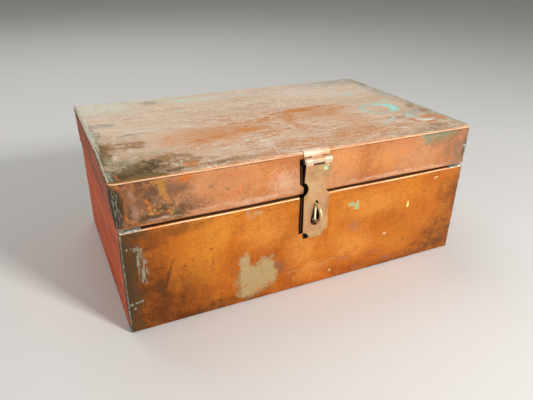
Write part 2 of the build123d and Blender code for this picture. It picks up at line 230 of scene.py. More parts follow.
class Bench:
    """Lays the nodes of one material."""

    def __init__(self, name: str) -> None:
        """Start a material with nothing but its shader, its output and the place on the piece.

        Args:
            name: The material's name.
        """
        self.material = bpy.data.materials.new(name)
        self.material.use_nodes = True
        self.nodes = self.material.node_tree.nodes
        self.links = self.material.node_tree.links
        self.nodes.clear()
        self.shader = self.nodes.new("ShaderNodeBsdfPrincipled")
        output = self.nodes.new("ShaderNodeOutputMaterial")
        self.links.new(self.shader.outputs["BSDF"], output.inputs["Surface"])
        self.place = self.lay("TexCoord", "Object", {})
        self.axis = self.split(self.place)
        self.facing = self.split(self.lay("TexCoord", "Normal", {}))
        self.nothing = self.axis["X"] * 0.0
        self.kept: dict[Grain | str, Layer] = {}

    def lay(self, kind: str, output: str | int, inputs: dict[str | int, Any], **settings: str) -> Layer:
        """Lay one node.

        Args:
            kind: Blender's name for the node.
            output: Which of its outputs is handed back.
            inputs: Layers and constants that go into it.
            settings: The node's own options.

        Returns:
            The layer that comes out of it.
        """
        node = self.nodes.new(f"ShaderNode{kind}")
        for name, option in settings.items():
            setattr(node, name, option)
        for key, value in inputs.items():
            self.put(node.inputs[key], value)
        return Layer(self, node.outputs[output])

    def put(self, socket: Socket, value: Any) -> None:
        """Link a layer to a socket, or set the socket to a constant."""
        if isinstance(value, Layer):
            self.links.new(value.socket, socket)
        else:
            socket.default_value = value

    def split(self, vector: Layer) -> dict[str, Layer]:
        """The three parts of a vector by their letters."""
        node = self.lay("SeparateXYZ", 0, {0: vector}).socket.node
        return {letter: Layer(self, node.outputs[letter]) for letter in "XYZ"}

    def noise(self, scale: float | Triple, detail: float = 4.0, rough: float = 0.55, twist: float = 0.0,
              turn: Triple = (0.0, 0.0, 0.0)) -> Layer:
        """Cloudy noise.

        Args:
            scale: Clouds to the metre, or to the metre along X, Y and Z.
            detail: Number of finer layers.
            rough: Share of each finer layer.
            twist: How far the clouds are drawn out of shape.
            turn: How clouds that run one way are turned, in degrees.

        Returns:
            A value around a half.
        """
        vector = self.place
        if isinstance(scale, tuple):
            stretch = {"Vector": vector, "Scale": scale, "Rotation": [math.radians(angle) for angle in turn]}
            vector, scale = self.lay("Mapping", "Vector", stretch), 1.0
        inputs = {"Scale": scale, "Detail": detail, "Roughness": rough, "Distortion": twist, "Vector": vector}
        return self.lay("TexNoise", "Fac", inputs)

    def specks(self, scale: float, size: float, vector: Layer | None = None) -> Layer:
        """Small round specks, one to a cell, whose radius is a share of the cell."""
        cells = self.lay("TexVoronoi", "Distance", {"Scale": scale, "Vector": vector or self.place})
        return cells.step(size, size * 0.45)

    def past(self, name: str, low: float, high: float, least: float = 0.0, most: float = 1.0) -> Layer:
        """Smooth step along one axis between two places in millimetres."""
        return self.axis[name].step(low * MM, high * MM, least, most)

    def between(self, name: str, low: float, high: float, soft: float) -> Layer:
        """Value that is 1 between two places along one axis, in millimetres."""
        return self.axis[name].band(low * MM, high * MM, soft * MM)

    def disc(self, along: float, up: float, radius: float, soft: float = 0.4) -> Layer:
        """Value that is 1 in a round spot seen from the front, in millimetres."""
        across, rise = self.axis["X"] - along * MM, self.axis["Z"] - up * MM
        return (across * across + rise * rise).calc("SQRT").step((radius + soft) * MM, (radius - soft) * MM)

    def on_front(self) -> Layer:
        """Value that is 1 on the front and 0 on the rest."""
        return self.past("Y", -100.0, -102.0)

    def grain(self, kind: Grain) -> Layer:
        """Shared noise that breaks up borders, spread from 0 to 1."""
        if kind not in self.kept:
            self.kept[kind] = self.noise(*kind.value).step(0.3, 0.7)
        return self.kept[kind]

    def wobble(self, kind: Grain, reach: float) -> Layer:
        """Shared noise between minus and plus a reach."""
        return self.grain(kind).step(0.0, 1.0, -reach, reach)

    def wandering(self) -> Layer:
        """The place, pushed a little to and fro so that no border runs true."""
        if "wandering" not in self.kept:
            place = self.place
            for scale, push in ((55.0, 0.011), (240.0, 0.0032)):
                cloud = self.lay("TexNoise", "Color", {"Scale": scale, "Detail": 3.0, "Vector": self.place})
                sizes = {0: cloud, 1: (push,) * 3, 2: (-push / 2,) * 3}
                offset = self.lay("VectorMath", 0, sizes, operation="MULTIPLY_ADD")
                place = self.lay("VectorMath", 0, {0: place, 1: offset}, operation="ADD")
            self.kept["wandering"] = place
        return self.kept["wandering"]

    def blob(self, side: Side, blob: Blob) -> Layer:
        """Value that is 1 in the middle of a blob and 0 at its reach and beyond."""
        depth = 12.0
        if side is Side.FRONT:
            centre = (blob.along + BODY_LEFT, LID_FRONT, blob.up)
            reach = (blob.reach_along, depth, blob.reach_up)
            turn = (0.0, -blob.turn, 0.0)
        else:
            centre = (blob.along + BODY_LEFT, blob.up + BODY_FRONT, LID_TOP)
            reach = (blob.reach_along, blob.reach_up, depth)
            turn = (0.0, 0.0, blob.turn)
        inputs = {
            "Vector": self.wandering(),
            "Location": [part * MM for part in centre],
            "Rotation": [math.radians(angle) for angle in turn],
            "Scale": [part * MM for part in reach],
        }
        mapped = self.lay("Mapping", "Vector", inputs, vector_type="TEXTURE")
        return self.lay("TexGradient", "Fac", {"Vector": mapped}, gradient_type="SPHERICAL")

    def stain_mask(self, side: Side, stain: Stain) -> Layer:
        """Where a stain lies: 1 in it, 0 outside."""
        height = self.blob(side, Blob(*stain.spots[0]))
        for spot in stain.spots[1:]:
            height = height | self.blob(side, Blob(*spot))
        if stain.ring > 0.0:
            height = abs(height - (1.0 - stain.ring)).step(stain.soft, 0.0, 0.0, 0.6)
        grain = self.grain(stain.grain)
        broken = height * grain.step(0.0, 1.0, 1.0 - stain.ragged, 1.0 + stain.ragged)
        mask = broken.step(0.1, 0.1 + stain.soft, 0.0, stain.strength)
        if stain.gaps > 0.0:
            mask = mask * grain.step(stain.gaps - 0.1, stain.gaps + 0.1)
        if stain.window is not None:
            mask = mask * self.blob(side, stain.window).step(0.0, 0.3)
        return mask

    def finish(self, colour: Layer, metal: Value, rough: Value, height: Layer, depth: float,
               gloss: float = 0.5) -> Material:
        """Join the layers to the shader.

        Args:
            colour: Base colour.
            metal: How metallic it is.
            rough: Roughness.
            height: Height of the surface.
            depth: How deep a height of 1 is, in metres.
            gloss: How strongly its bare, unmetallic parts shine.

        Returns:
            The finished material.
        """
        bump = self.lay("Bump", "Normal", {"Strength": 1.0, "Distance": depth, "Height": height})
        inputs = {"Base Color": colour, "Metallic": metal, "Roughness": rough, "Normal": bump}
        for name, value in (inputs | {"Specular IOR Level": gloss}).items():
            self.put(self.shader.inputs[name], value)
        return self.material


@dataclass
class Coat:
    """Colour, dullness and crust of a finish as its layers go on."""

    bench: Bench
    colour: Layer
    dull: Layer
    raised: Layer

    def cover(self, tone: Tone, share: Layer, dull: float = 0.0) -> None:
        """Lay a colour over the coat and make it as dull there as dull says."""
        self.colour = self.colour.covered(tone, share)
        if dull > 0.0:
            self.dull = self.dull | share * dull

    def stain(self, side: Side, stains: Sequence[Stain]) -> None:
        """Lay the stains of one side over the coat, lowest first."""
        for stain in stains:
            mask = self.bench.stain_mask(side, stain)
            self.cover(stain.colour, mask, stain.dull)
            if stain.raised > 0.0:
                self.raised = self.raised | mask * stain.raised


# --- Stains of the trunk ---

# Front of the body: painted light and shade, scratches, the pale patch, drips and small spots
BODY_STAINS: tuple[Stain, ...] = (
    # Painted light: a soft pool of light across the middle of the front
    Stain((255, 174, 82), ((122, 70, 40, 32), (158, 44, 30, 46), (168, 16, 30, 18), (214, 34, 44, 30),
        (234, 74, 60, 26)), 0.6, 0.9, 0.3, dull=0.0),
    Stain((136, 74, 32), ((38, 24, 62, 46), (8, 58, 54, 70), (22, 84, 34, 24), (78, 6, 46, 14),
        (112, 2, 30, 9)), 0.85, 0.85, 0.25, dull=0.15),
    Stain((150, 88, 40), ((46, 90, 40, 9), (332, 66, 34, 40), (340, 84, 40, 16)), 0.8, 0.85, 0.4, dull=0.2),
    Stain((98, 56, 28), ((20, 12, 42, 32), (48, 3, 60, 13), (22, 38, 26, 24)), 0.7, 0.85, 0.3, dull=0.25),
    Stain((84, 62, 36), ((2, 70, 19, 54), (1, 34, 17, 46), (3, 5, 17, 18), (8, 93, 20, 9)), 0.9, 0.5, 0.3,
        DRIP, 0.6),
    Stain((78, 58, 36), ((0, 50, 9, 70),), 0.7, 0.6, 0.5, dull=0.6),
    Stain((136, 78, 40), ((328, 18, 58, 42), (285, 2, 74, 16), (340, 52, 12, 50)), 0.75, 0.85, 0.4, dull=0.2),
    Stain((98, 62, 38), ((318, 9, 36, 11), (318, 34, 3.4, 11), (331, 37, 9, 5), (306, 25, 15, 2.6, -12),
        (291, 16, 12, 3, 8), (336, 24, 6, 10)), 0.55, 0.75, 0.6),
    Stain((178, 118, 94), ((206, 20, 11, 4.4), (240, 18, 15, 5), (258, 8, 14, 5), (222, 8, 9, 4),
        (216, 54, 14, 9)), 0.45, 0.7, 0.7, dull=0.4),
    Stain((88, 50, 28), ((170, -1, 420, 4.6),), 0.6, 0.7, 0.7, dull=0.4),
    # Painted shade in a thin band beneath the shoulder's bend
    Stain((140, 78, 38), ((170, 91.6, 200, 1.5),), 0.35, 0.5, 0.6),
    Stain((84, 48, 26), ((34, 46, 2.6, 27, -20), (27, 56, 9, 0.8), (18.5, 78.3, 5.6, 1.2), (72.6, 55, 1.0, 9),
        (28, 38, 5, 12), (70.6, 64.6, 2.2, 1.4, -30)), 0.75, 0.55, 0.5, FINE),
    Stain((228, 164, 104), ((164.8, 98.5, 92, 92),), 0.36, 0.02, 0.9, FINE, 0.2, ring=0.87,
        window=Blob(180, 24, 46, 24)),
    Stain((150, 100, 62), ((146, 23, 14, 3, -6), (182, 14, 24, 3)), 0.3, 0.7, 0.8),
    Stain((178, 152, 106), ((113, 23, 25, 20.5), (101, 44, 7.5, 13), (123, 35, 14, 12), (105, 12, 14, 9)),
        0.75, 0.4, 1.0, dull=0.9, raised=0.2),
    Stain((180, 154, 108), ((113, 23, 22, 18), (103, 33, 8.5, 18), (101, 42, 5.5, 11), (121, 32, 13, 11.5),
        (105, 13.5, 12, 8.5), (127, 24, 10, 9)), 0.93, 0.3, 0.7, FINE, 1.0, 0.25),
    Stain((134, 104, 82), ((135, 31, 6, 5), (137.5, 26, 4, 3)), 0.7, 0.5, 0.8, FINE, 0.6),
    Stain((138, 108, 66), ((97, 15, 3.4, 10), (106, 6.8, 13, 2.4), (126, 10, 8, 2.6), (97.5, 31, 3, 9)), 0.55,
        0.5, 0.9, FINE, 0.8),
    Stain((200, 158, 112), ((112, 88, 10, 5), (106, 91, 6, 3)), 0.6, 0.6, 0.9, dull=0.8),
    Stain((152, 158, 138), ((8, 80, 6.5, 1.5), (12.3, 79, 4.2, 3.2), (13.6, 67, 4.4, 16),
        (16.8, 67.4, 3.4, 3.2), (17.2, 57, 3.2, 8), (14.6, 50, 3.6, 5)), 0.85, 0.35, 0.8, DRIP, 1.0, 0.5,
        gaps=0.56),
    Stain((150, 154, 134), ((16.8, 67.4, 2.4, 2.4), (12.6, 79.2, 2.8, 2.4), (2, 29.4, 2.4, 1.7),
        (6.5, 30.4, 2.4, 1.7), (10, 31.4, 2.6, 1.5), (4, 25, 2, 1.6)), 0.75, 0.4, 0.9, FINE, 1.0, 0.5),
    Stain((156, 190, 142), ((208.3, 78.2, 3.8, 3.0), (213.9, 75.8, 3.6, 4.2), (215, 79, 2.4, 2.2)), 0.92, 0.4,
        0.8, FINE, 1.0, 0.4),
    Stain((244, 226, 124), ((276, 64.3, 1.8, 5.0, 14),), 1.0, 0.25, 0.3, FINE, 1.0, 0.3),
    Stain((236, 204, 150), ((309.5, 88.3, 2.2, 1.9), (252, 38.5, 2.2, 1.9), (191.6, 11.6, 2.4, 2.2)), 0.7, 0.4,
        0.6, FINE, 0.8, 0.2),
    Stain((74, 40, 22), ((80.5, 17.3, 2.8, 1.8), (80, 12.8, 1.8, 2.4), (70.5, 8.8, 2.8, 2.4),
        (45, 25.2, 3.6, 3.0), (48.5, 54.8, 2.0, 1.6), (78, 9, 1.6, 1.4)), 0.7, 0.5, 0.7, FINE),
    Stain((110, 96, 62), ((92.5, 32.8, 1.8, 2.4), (83.5, 40.8, 2.4, 1.4), (88, 39.3, 1.8, 1.8),
        (91, 36.8, 1.7, 2.2), (155, 47.8, 4, 1.4), (90, 74, 1.6, 1.6), (138, 73, 1.4, 2)), 0.5, 0.5, 0.8,
        FINE),
)

# Front skirt of the lid: shade and flecks on the left, painted light across the middle, a painted sheen along
# the lower edge, green salts on the right, the corner's edge and a painted highlight along its crease
SKIRT_STAINS: tuple[Stain, ...] = (
    # Painted light: soft bright pools across the middle of the skirt
    Stain((250, 180, 110), ((122, 120, 34, 24), (196, 124, 34, 22), (236, 120, 30, 22)), 0.4, 0.9, 0.4,
        dull=0.0),
    Stain((140, 98, 70), ((16, 118, 42, 38), (38, 104, 30, 13), (46, 126, 22, 16)), 0.9, 0.75, 0.4, dull=0.3),
    Stain((100, 72, 52), ((27, 124, 14, 14), (22, 104, 20, 6), (16, 134, 22, 5), (8.6, 110, 3.4, 12),
        (36, 112, 14, 8), (52, 106, 20, 6)), 0.75, 0.75, 0.7, dull=0.3),
    # Painted highlight on the bulge of the knocked corner's dent
    Stain((186, 146, 120), ((13, 110, 5.5, 12, 8), (14, 124, 4, 8)), 0.65, 0.85, 0.3, dull=0.1),
    Stain((86, 72, 46), ((44, 103, 18, 5), (8, 101, 14, 3), (27, 103, 16, 4), (36, 111, 8, 5)), 0.6, 0.5, 0.9,
        FINE),
    Stain((150, 106, 76), ((50, 131, 14, 5), (52, 124, 16, 3), (58, 113, 16, 8)), 0.55, 0.6, 0.8, STREAK),
    Stain((136, 98, 70), ((30, 120, 18, 14), (50, 112, 22, 12), (66, 108, 16, 8)), 0.55, 0.7, 0.8, FINE, 0.3,
        gaps=0.46),
    Stain((198, 138, 66), ((33, 133, 9, 4), (36, 127, 5, 8, 12), (38.6, 118.5, 3.2, 8.5, 6)), 0.85, 0.4, 0.8,
        FINE, 0.4),
    Stain((226, 126, 48), ((23.5, 118.5, 2.2, 4.4), (24.5, 112.5, 2.6, 3.6), (25.4, 108, 2.2, 2.6),
        (31, 106.6, 1.8, 1.3), (39, 106.4, 2.4, 1.3), (33.5, 112.6, 1.8, 1.8), (53, 133, 8, 3)), 0.85, 0.4,
        1.0, FINE, 0.4),
    Stain((204, 162, 66), ((26, 106.6, 2.8, 1.6), (18.6, 111.4, 1.8, 1.4), (29, 110.6, 1.6, 1.4),
        (34, 108.4, 3.0, 1.3), (30, 115, 1.4, 2), (41, 104, 3, 1)), 0.7, 0.4, 1.0, FINE, 0.5),
    Stain((124, 112, 84), ((30, 118, 3, 3), (33, 114, 3, 3), (21, 108, 3, 2), (46, 106, 4, 2)), 0.55, 0.5, 1.0,
        FINE, 0.7),
    Stain((128, 98, 80), ((47, 124.6, 9, 1.4), (74, 121, 3.2, 2.2), (87, 117.5, 3.2, 2.6),
        (66, 104.5, 4.6, 2.4), (42, 128, 5, 2.4), (54, 112, 8, 2.4), (62, 107, 10, 3)), 0.5, 0.6, 0.8, FINE),
    Stain((214, 124, 62), ((58, 131, 18, 6), (100, 128, 26, 7), (92, 112, 20, 7), (128, 120, 14, 9)), 0.4,
        0.75, 0.6),
    Stain((244, 124, 40), ((101, 117, 0.9, 4, -38), (99, 115.6, 2.4, 0.7), (135.6, 117, 0.8, 5, 8),
        (118, 109, 0.7, 6, -34)), 0.7, 0.4, 0.5, FINE),
    # Painted sheen along the skirt's lower edge, reflecting light from below
    Stain((242, 200, 170), ((110, 102.2, 66, 3.8), (36, 101.6, 22, 1.6), (141, 113, 26, 16),
        (250, 101.4, 76, 3.6), (306, 101.6, 34, 3.4), (64, 104, 18, 1.6)), 0.55, 0.8, 0.5, dull=0.05),
    Stain((248, 208, 172), ((128, 124, 8, 0.6, 26), (137, 127, 5, 0.6, 12), (132, 112, 7, 0.5, -30)), 0.45,
        0.4, 0.5, FINE),
    # Painted light: a soft bright pool right of the hasp
    Stain((238, 148, 70), ((200, 118, 36, 20), (246, 114, 32, 18), (262, 122, 18, 12)), 0.4, 0.9, 0.4,
        dull=0.0),
    Stain((146, 114, 90), ((336, 112, 40, 40), (314, 130, 40, 14)), 0.85, 0.8, 0.5, dull=0.4),
    Stain((160, 138, 92), ((312, 131, 22, 7), (290, 133, 12, 3)), 0.6, 0.6, 0.9, dull=0.6),
    Stain((112, 138, 112), ((299, 135.0, 26, 4), (291.5, 130.5, 5.5, 7.5, -20), (312, 133, 14, 4),
        (284, 133.6, 8, 2), (270, 115, 1.8, 1.2), (306, 115, 1.4, 1)), 0.75, 0.5, 1.0, FINE, 0.9, 0.2),
    Stain((62, 50, 38), ((338.4, 114, 2.6, 16),), 0.7, 0.5, 0.6, DRIP, 0.8),
    Stain((190, 198, 184), ((337.6, 116, 1.8, 2.2),), 0.8, 0.4, 0.8, DRIP, 1.0, 0.4),
    Stain((66, 54, 36), ((-1, 118, 9.6, 23), (-1, 106, 8, 12)), 0.94, 0.3, 0.5, DRIP, 0.8),
    Stain((118, 78, 42), ((5.6, 110, 2.6, 9), (4.8, 126, 2.6, 8)), 0.6, 0.5, 0.8, DRIP, 0.6),
    Stain((172, 180, 160), ((0.2, 120, 2.8, 17), (1.4, 108, 3.0, 8)), 0.75, 0.4, 0.6, DRIP, 0.9, 0.6,
        gaps=0.66),
    # Painted highlight: a thin orange line along the crease of the knocked corner
    Stain((176, 104, 54), ((-1.2, 117.5, 10.2, 23.5),), 0.7, 0.09, 1.0, FINE, 0.0, ring=0.84,
        window=Blob(8, 119, 9, 26)),
    Stain((222, 126, 62), ((2.5, 134, 4.4, 1.4, -30), (6.4, 107, 1.2, 3.0, 20)), 0.6, 0.4, 0.8, FINE, 0.0),
)

# Top of the lid, under the strokes: pale and dark clouds, which also carry a painted fall of light from the
# back left to the right, and the worn copper
TOP_STAINS: tuple[Stain, ...] = (
    # Pale clouds at the back left, lighter there for a painted fall of light
    Stain((214, 218, 198), ((20, 194, 70, 52), (66, 214, 190, 22), (120, 192, 60, 14)), 0.9, 0.8, 0.5,
        dull=0.9),
    # Greyer clouds at the back right, darker there for a painted fall of light
    Stain((188, 186, 176), ((304, 204, 96, 42), (340, 150, 26, 80)), 0.8, 0.8, 0.5, dull=0.9),
    Stain((218, 208, 196), ((200, 190, 110, 16, -2), (250, 170, 80, 8, -2), (290, 150, 50, 16)), 0.7, 0.8, 0.6,
        STREAK, 0.9),
    Stain((206, 148, 102), ((180, 0, 260, 44), (240, 28, 110, 28)), 0.95, 0.8, 0.6, STREAK, 0.6),
    Stain((220, 160, 114), ((240, 60, 80, 34), (100, 76, 90, 46), (160, 70, 110, 48), (230, 92, 60, 34)), 0.75,
        0.85, 0.7, STREAK, 0.6),
    Stain((164, 142, 120), ((350, 40, 44, 110), (300, 4, 70, 20)), 0.85, 0.8, 0.5, dull=0.7),
    # Grey clouds at the back right, darker there for a painted fall of light
    Stain((150, 150, 140), ((338, 204, 60, 34), (346, 160, 26, 60)), 0.7, 0.8, 0.4, dull=0.9),
    Stain((178, 146, 112), ((4, 76, 56, 60), (20, 36, 66, 44)), 0.8, 0.85, 0.5, dull=0.7),
    Stain((220, 150, 86), ((108, 68, 60, 28, 4), (96, 50, 50, 18), (152, 92, 48, 15, 8), (66, 66, 22, 28)),
        0.6, 0.6, 1.0, FINE, 0.35, gaps=0.5),
    Stain((216, 140, 68), ((212, 111, 60, 10, 4), (186, 86, 11, 30, -14), (172, 98, 26, 9, 12),
        (140, 74, 26, 9, 6), (112, 67, 26, 8, 6), (252, 103, 24, 8), (150, 88, 34, 8, 16), (84, 60, 16, 7)),
        0.95, 0.5, 0.8, STREAK, 0.3, gaps=0.36),
    Stain((214, 136, 74), ((166, 26, 34, 14), (228, 26, 38, 9), (66, 14, 14, 9), (150, 36, 20, 6),
        (230, 92, 24, 12)), 0.8, 0.5, 0.9, FINE, 0.35, gaps=0.42),
)

# Top of the lid, over the strokes: dark corner, smears, the turquoise ring and small spots
TOP_CRUST: tuple[Stain, ...] = (
    Stain((206, 130, 66), ((212, 112, 52, 8, 4), (187, 88, 8, 26, -14), (160, 94, 20, 6, 20),
        (120, 70, 22, 6, 10), (92, 62, 14, 7)), 0.75, 0.5, 0.9, FINE, 0.4, gaps=0.44),
    Stain((208, 142, 88), ((208, 94, 50, 18), (120, 80, 60, 20, 8), (166, 24, 40, 12), (232, 22, 50, 10),
        (300, 70, 26, 10), (60, 40, 40, 14)), 0.65, 0.6, 1.0, FINE, 0.5, gaps=0.5),
    Stain((112, 84, 32), ((18, 14, 48, 36), (18, 4, 64, 14), (2, 56, 11, 44)), 0.92, 0.6, 0.4, dull=0.8),
    Stain((146, 100, 44), ((28, 74, 21, 11), (6, 68, 14, 18), (54, 34, 24, 12), (60, 20, 34, 10)), 0.65, 0.55,
        0.9, dull=0.8),
    Stain((70, 46, 12), ((28, 15, 18, 10), (10, 10, 13, 9), (36, 28, 9, 18), (54, 9, 20, 6), (88, 8, 18, 5)),
        0.7, 0.75, 0.5, dull=0.8),
    Stain((150, 112, 74), ((315, 16, 16, 7), (331, 78, 8, 8), (332, 60, 9, 8), (88, 10, 60, 6),
        (296, 50, 12, 7)), 0.7, 0.55, 0.8, FINE, 0.7),
    Stain((146, 154, 142), ((72, 197, 14, 12), (14, 136, 20, 9), (36, 100, 24, 3), (52, 112, 30, 2.4)), 0.6,
        0.6, 0.8, dull=1.0),
    Stain((176, 176, 138), ((17, 36, 12, 12), (8, 24, 4, 8), (5, 46, 5, 16), (40, 47, 14, 4), (54, 53, 16, 4)),
        0.6, 0.6, 1.0, FINE, 1.0, 0.2, gaps=0.42),
    Stain((212, 222, 204), ((0.6, 106, 2.6, 60), (3, 112, 3, 12), (2, 148, 2, 30), (1, 14, 2, 12)), 0.8, 0.5,
        1.0, FINE, 1.0, 0.4, gaps=0.36),
    Stain((86, 96, 84), ((3.6, 100, 2.4, 60), (7, 110, 3, 14), (2, 12, 3, 12)), 0.5, 0.4, 1.0, FINE, 1.0,
        gaps=0.4),
    Stain((206, 128, 70), ((304, 37, 7, 9), (325, 42, 15, 7), (333, 32, 9, 9), (316, 26, 15, 4),
        (64, 14, 11, 7)), 0.85, 0.5, 0.7, FINE, 0.5),
    Stain((206, 128, 70), ((6, 10, 1.6, 7),), 0.6, 0.6, 0.8, FINE, 0.5),
    Stain((172, 180, 168), ((310, 54, 11, 17, -20), (321, 61, 9, 7), (341, 49, 5, 12)), 0.85, 0.5, 0.9, FINE,
        1.0, 0.2),
    Stain((184, 212, 192), ((293, 85, 23, 20.5),), 0.8, 0.2, 0.9, FINE, 1.0, 0.3, ring=0.79),
    Stain((166, 230, 218), ((293, 85, 24.5, 22),), 1.0, 0.36, 0.7, FINE, 1.0, 0.3, ring=0.75,
        window=Blob(313, 88, 17, 28, 14)),
    Stain((196, 210, 200), ((283, 47, 24, 2.6, 34), (308, 50, 5, 9, -20)), 0.9, 0.4, 0.8, FINE, 1.0, 0.2),
    Stain((230, 234, 222), ((315.5, 33.5, 7, 4.6), (308, 36, 5, 2.4)), 0.9, 0.5, 0.9, FINE, 1.0, 0.4),
    Stain((184, 224, 192), ((294, 144.5, 7.4, 6.6), (186.5, 169.7, 4.6, 3.6), (153.4, 187.5, 4, 4.2),
        (181.4, 191.4, 4, 4), (102.5, 188.5, 2.4, 4.4), (109, 188.5, 2.6, 4.4), (97, 154, 4.6, 4),
        (316, 107.5, 11, 4)), 0.85, 0.45, 0.7, FINE, 1.0, 0.3),
    Stain((210, 224, 216), ((125, 47, 4.6, 4.6), (140, 40.2, 2.4, 3), (186, 31, 2.6, 2.4), (135, 57, 18, 1.4),
        (172, 18, 7, 1.6, -30), (57, 21, 2.2, 3), (92, 7, 3, 2), (60, 41, 3, 2)), 0.7, 0.5, 0.9, FINE, 1.0,
        0.2),
)

# Plate of the hasp
HASP_SPOTS: tuple[Stain, ...] = (
    Stain((196, 178, 126), ((168, 124, 16, 5), (160, 112, 5, 16), (171, 117, 8, 6)), 0.55, 0.7, 0.6, dull=0.3),
    Stain((222, 168, 138), ((172, 108, 10, 12), (168, 64, 14, 9), (160, 74, 5, 12), (176, 92, 8, 10)), 0.5,
        0.8, 0.5, dull=0.1),
    Stain((214, 164, 100), ((160, 84, 5, 10), (177, 76, 5, 12), (166, 62, 12, 4)), 0.4, 0.8, 0.6, dull=0.1),
    Stain((180, 216, 168), ((175.6, 121.4, 2.7, 4.6),), 0.95, 0.3, 0.5, FINE, 1.0, 0.3),
    Stain((176, 196, 140), ((179, 120.5, 1.4, 3.6), (171, 122, 4, 2)), 0.5, 0.5, 0.7, FINE, 0.6),
    Stain((246, 238, 206), ((177.0, 125.4, 1.3, 1.1),), 0.98, 0.3, 0.3, FINE, 0.8),
    Stain((190, 180, 152), ((167, 104.5, 6, 3.0), (162, 88, 5, 5)), 0.5, 0.6, 0.6, FINE, 0.4),
)

# Fixed leaf of the hasp: a painted pale highlight on the left of its bend and a painted orange reflection on
# its right
LEAF_PAINTED_LIGHT: tuple[Stain, ...] = (
    Stain((244, 224, 200), ((164, 136.5, 12, 4), (159, 135, 6, 4)), 0.6, 0.6, 0.4, dull=0.0),
    Stain((214, 146, 88), ((176, 136, 10, 4), (170, 133, 8, 2)), 0.6, 0.6, 0.7, dull=0.0),
)


# --- Finishes ---

Tones: TypeAlias = tuple[Colour, Colour, Colour]
# Near-black colour of painted shade and painted shadow
PAINTED_SHADE: Colour = (24, 16, 10)


@dataclass(frozen=True)
class HaspShadow:
    """Painted shadow of the hasp's plate on the front, with tarnished copper and painted shade behind the
    plate, in millimetres.
    """

    left: float = HASP_MIDDLE - 14.3
    right: float = HASP_MIDDLE + 9
    top: float = 131.5
    shoulder: float = 59.5
    foot: float = 53.2
    corner: float = 4.5
    bend: float = 104
    slant: float = 0.065
    # Tarnished copper behind the plate, darkened as painted shade
    tarnish_and_shade: Colour = (112, 66, 38)
    # Lighter brown line within the painted shadow
    line: Colour = (150, 104, 60)

    def cover(self, coat: Coat) -> None:
        """Lay tarnished copper with painted shade where the plate hides the sheet, and a painted shadow with a
        lighter brown line where it shows.

        Args:
            coat: The coat of the sheet behind the plate.
        """
        bench, left, right = coat.bench, self.left, self.right
        over = (bench.axis["Z"] - self.bend * MM) | 0
        slanted = bench.axis["X"] + over * self.slant
        tall = slanted.band(left * MM, right * MM, 0.4 * MM) * bench.between("Z", self.shoulder, self.top, 0.8)
        short = bench.between("X", left + self.corner, right - self.corner, 0.9)
        short = short * bench.between("Z", self.foot, self.shoulder + 1, 0.8)
        spread = (tall | short) - bench.disc(left - 1.9, NOTCH_HEIGHT, 5.8)
        tarnish_and_shade = spread.step(0.3, 0.7) * bench.on_front()
        # Painted shadow: a band by the plate's left edge, one by its foot, a disc round the staple and one by
        # the notch
        edge = tall * bench.past("X", left + 6.2, left + 5)
        foot = short * bench.past("X", left + 11.5, left + 9.5)
        staple = bench.disc(HASP_MIDDLE - 1.5, STAPLE_HEIGHT - 1.5, 11.2, 1.5)
        neck_shade = bench.disc(left + 4, NOTCH_HEIGHT, 8.5, 1)
        painted_shadow = (edge | foot | staple | neck_shade) * tarnish_and_shade
        # A lighter brown line within the painted shadow
        line = slanted.band((left + 1.3) * MM, (left + 2.5) * MM, 0.3 * MM) * painted_shadow
        line = line * (bench.between("Z", 63, 95, 1) | bench.between("Z", 108.5, 125.5, 1))
        # Tarnished copper with painted shade behind the plate, then the painted shadow and its lighter line
        coat.cover(self.tarnish_and_shade, tarnish_and_shade * bench.grain(CLOUD).step(0, 1, 0.3, 0.85))
        coat.cover(PAINTED_SHADE, painted_shadow, 1)
        coat.cover(self.line, line * 0.9)


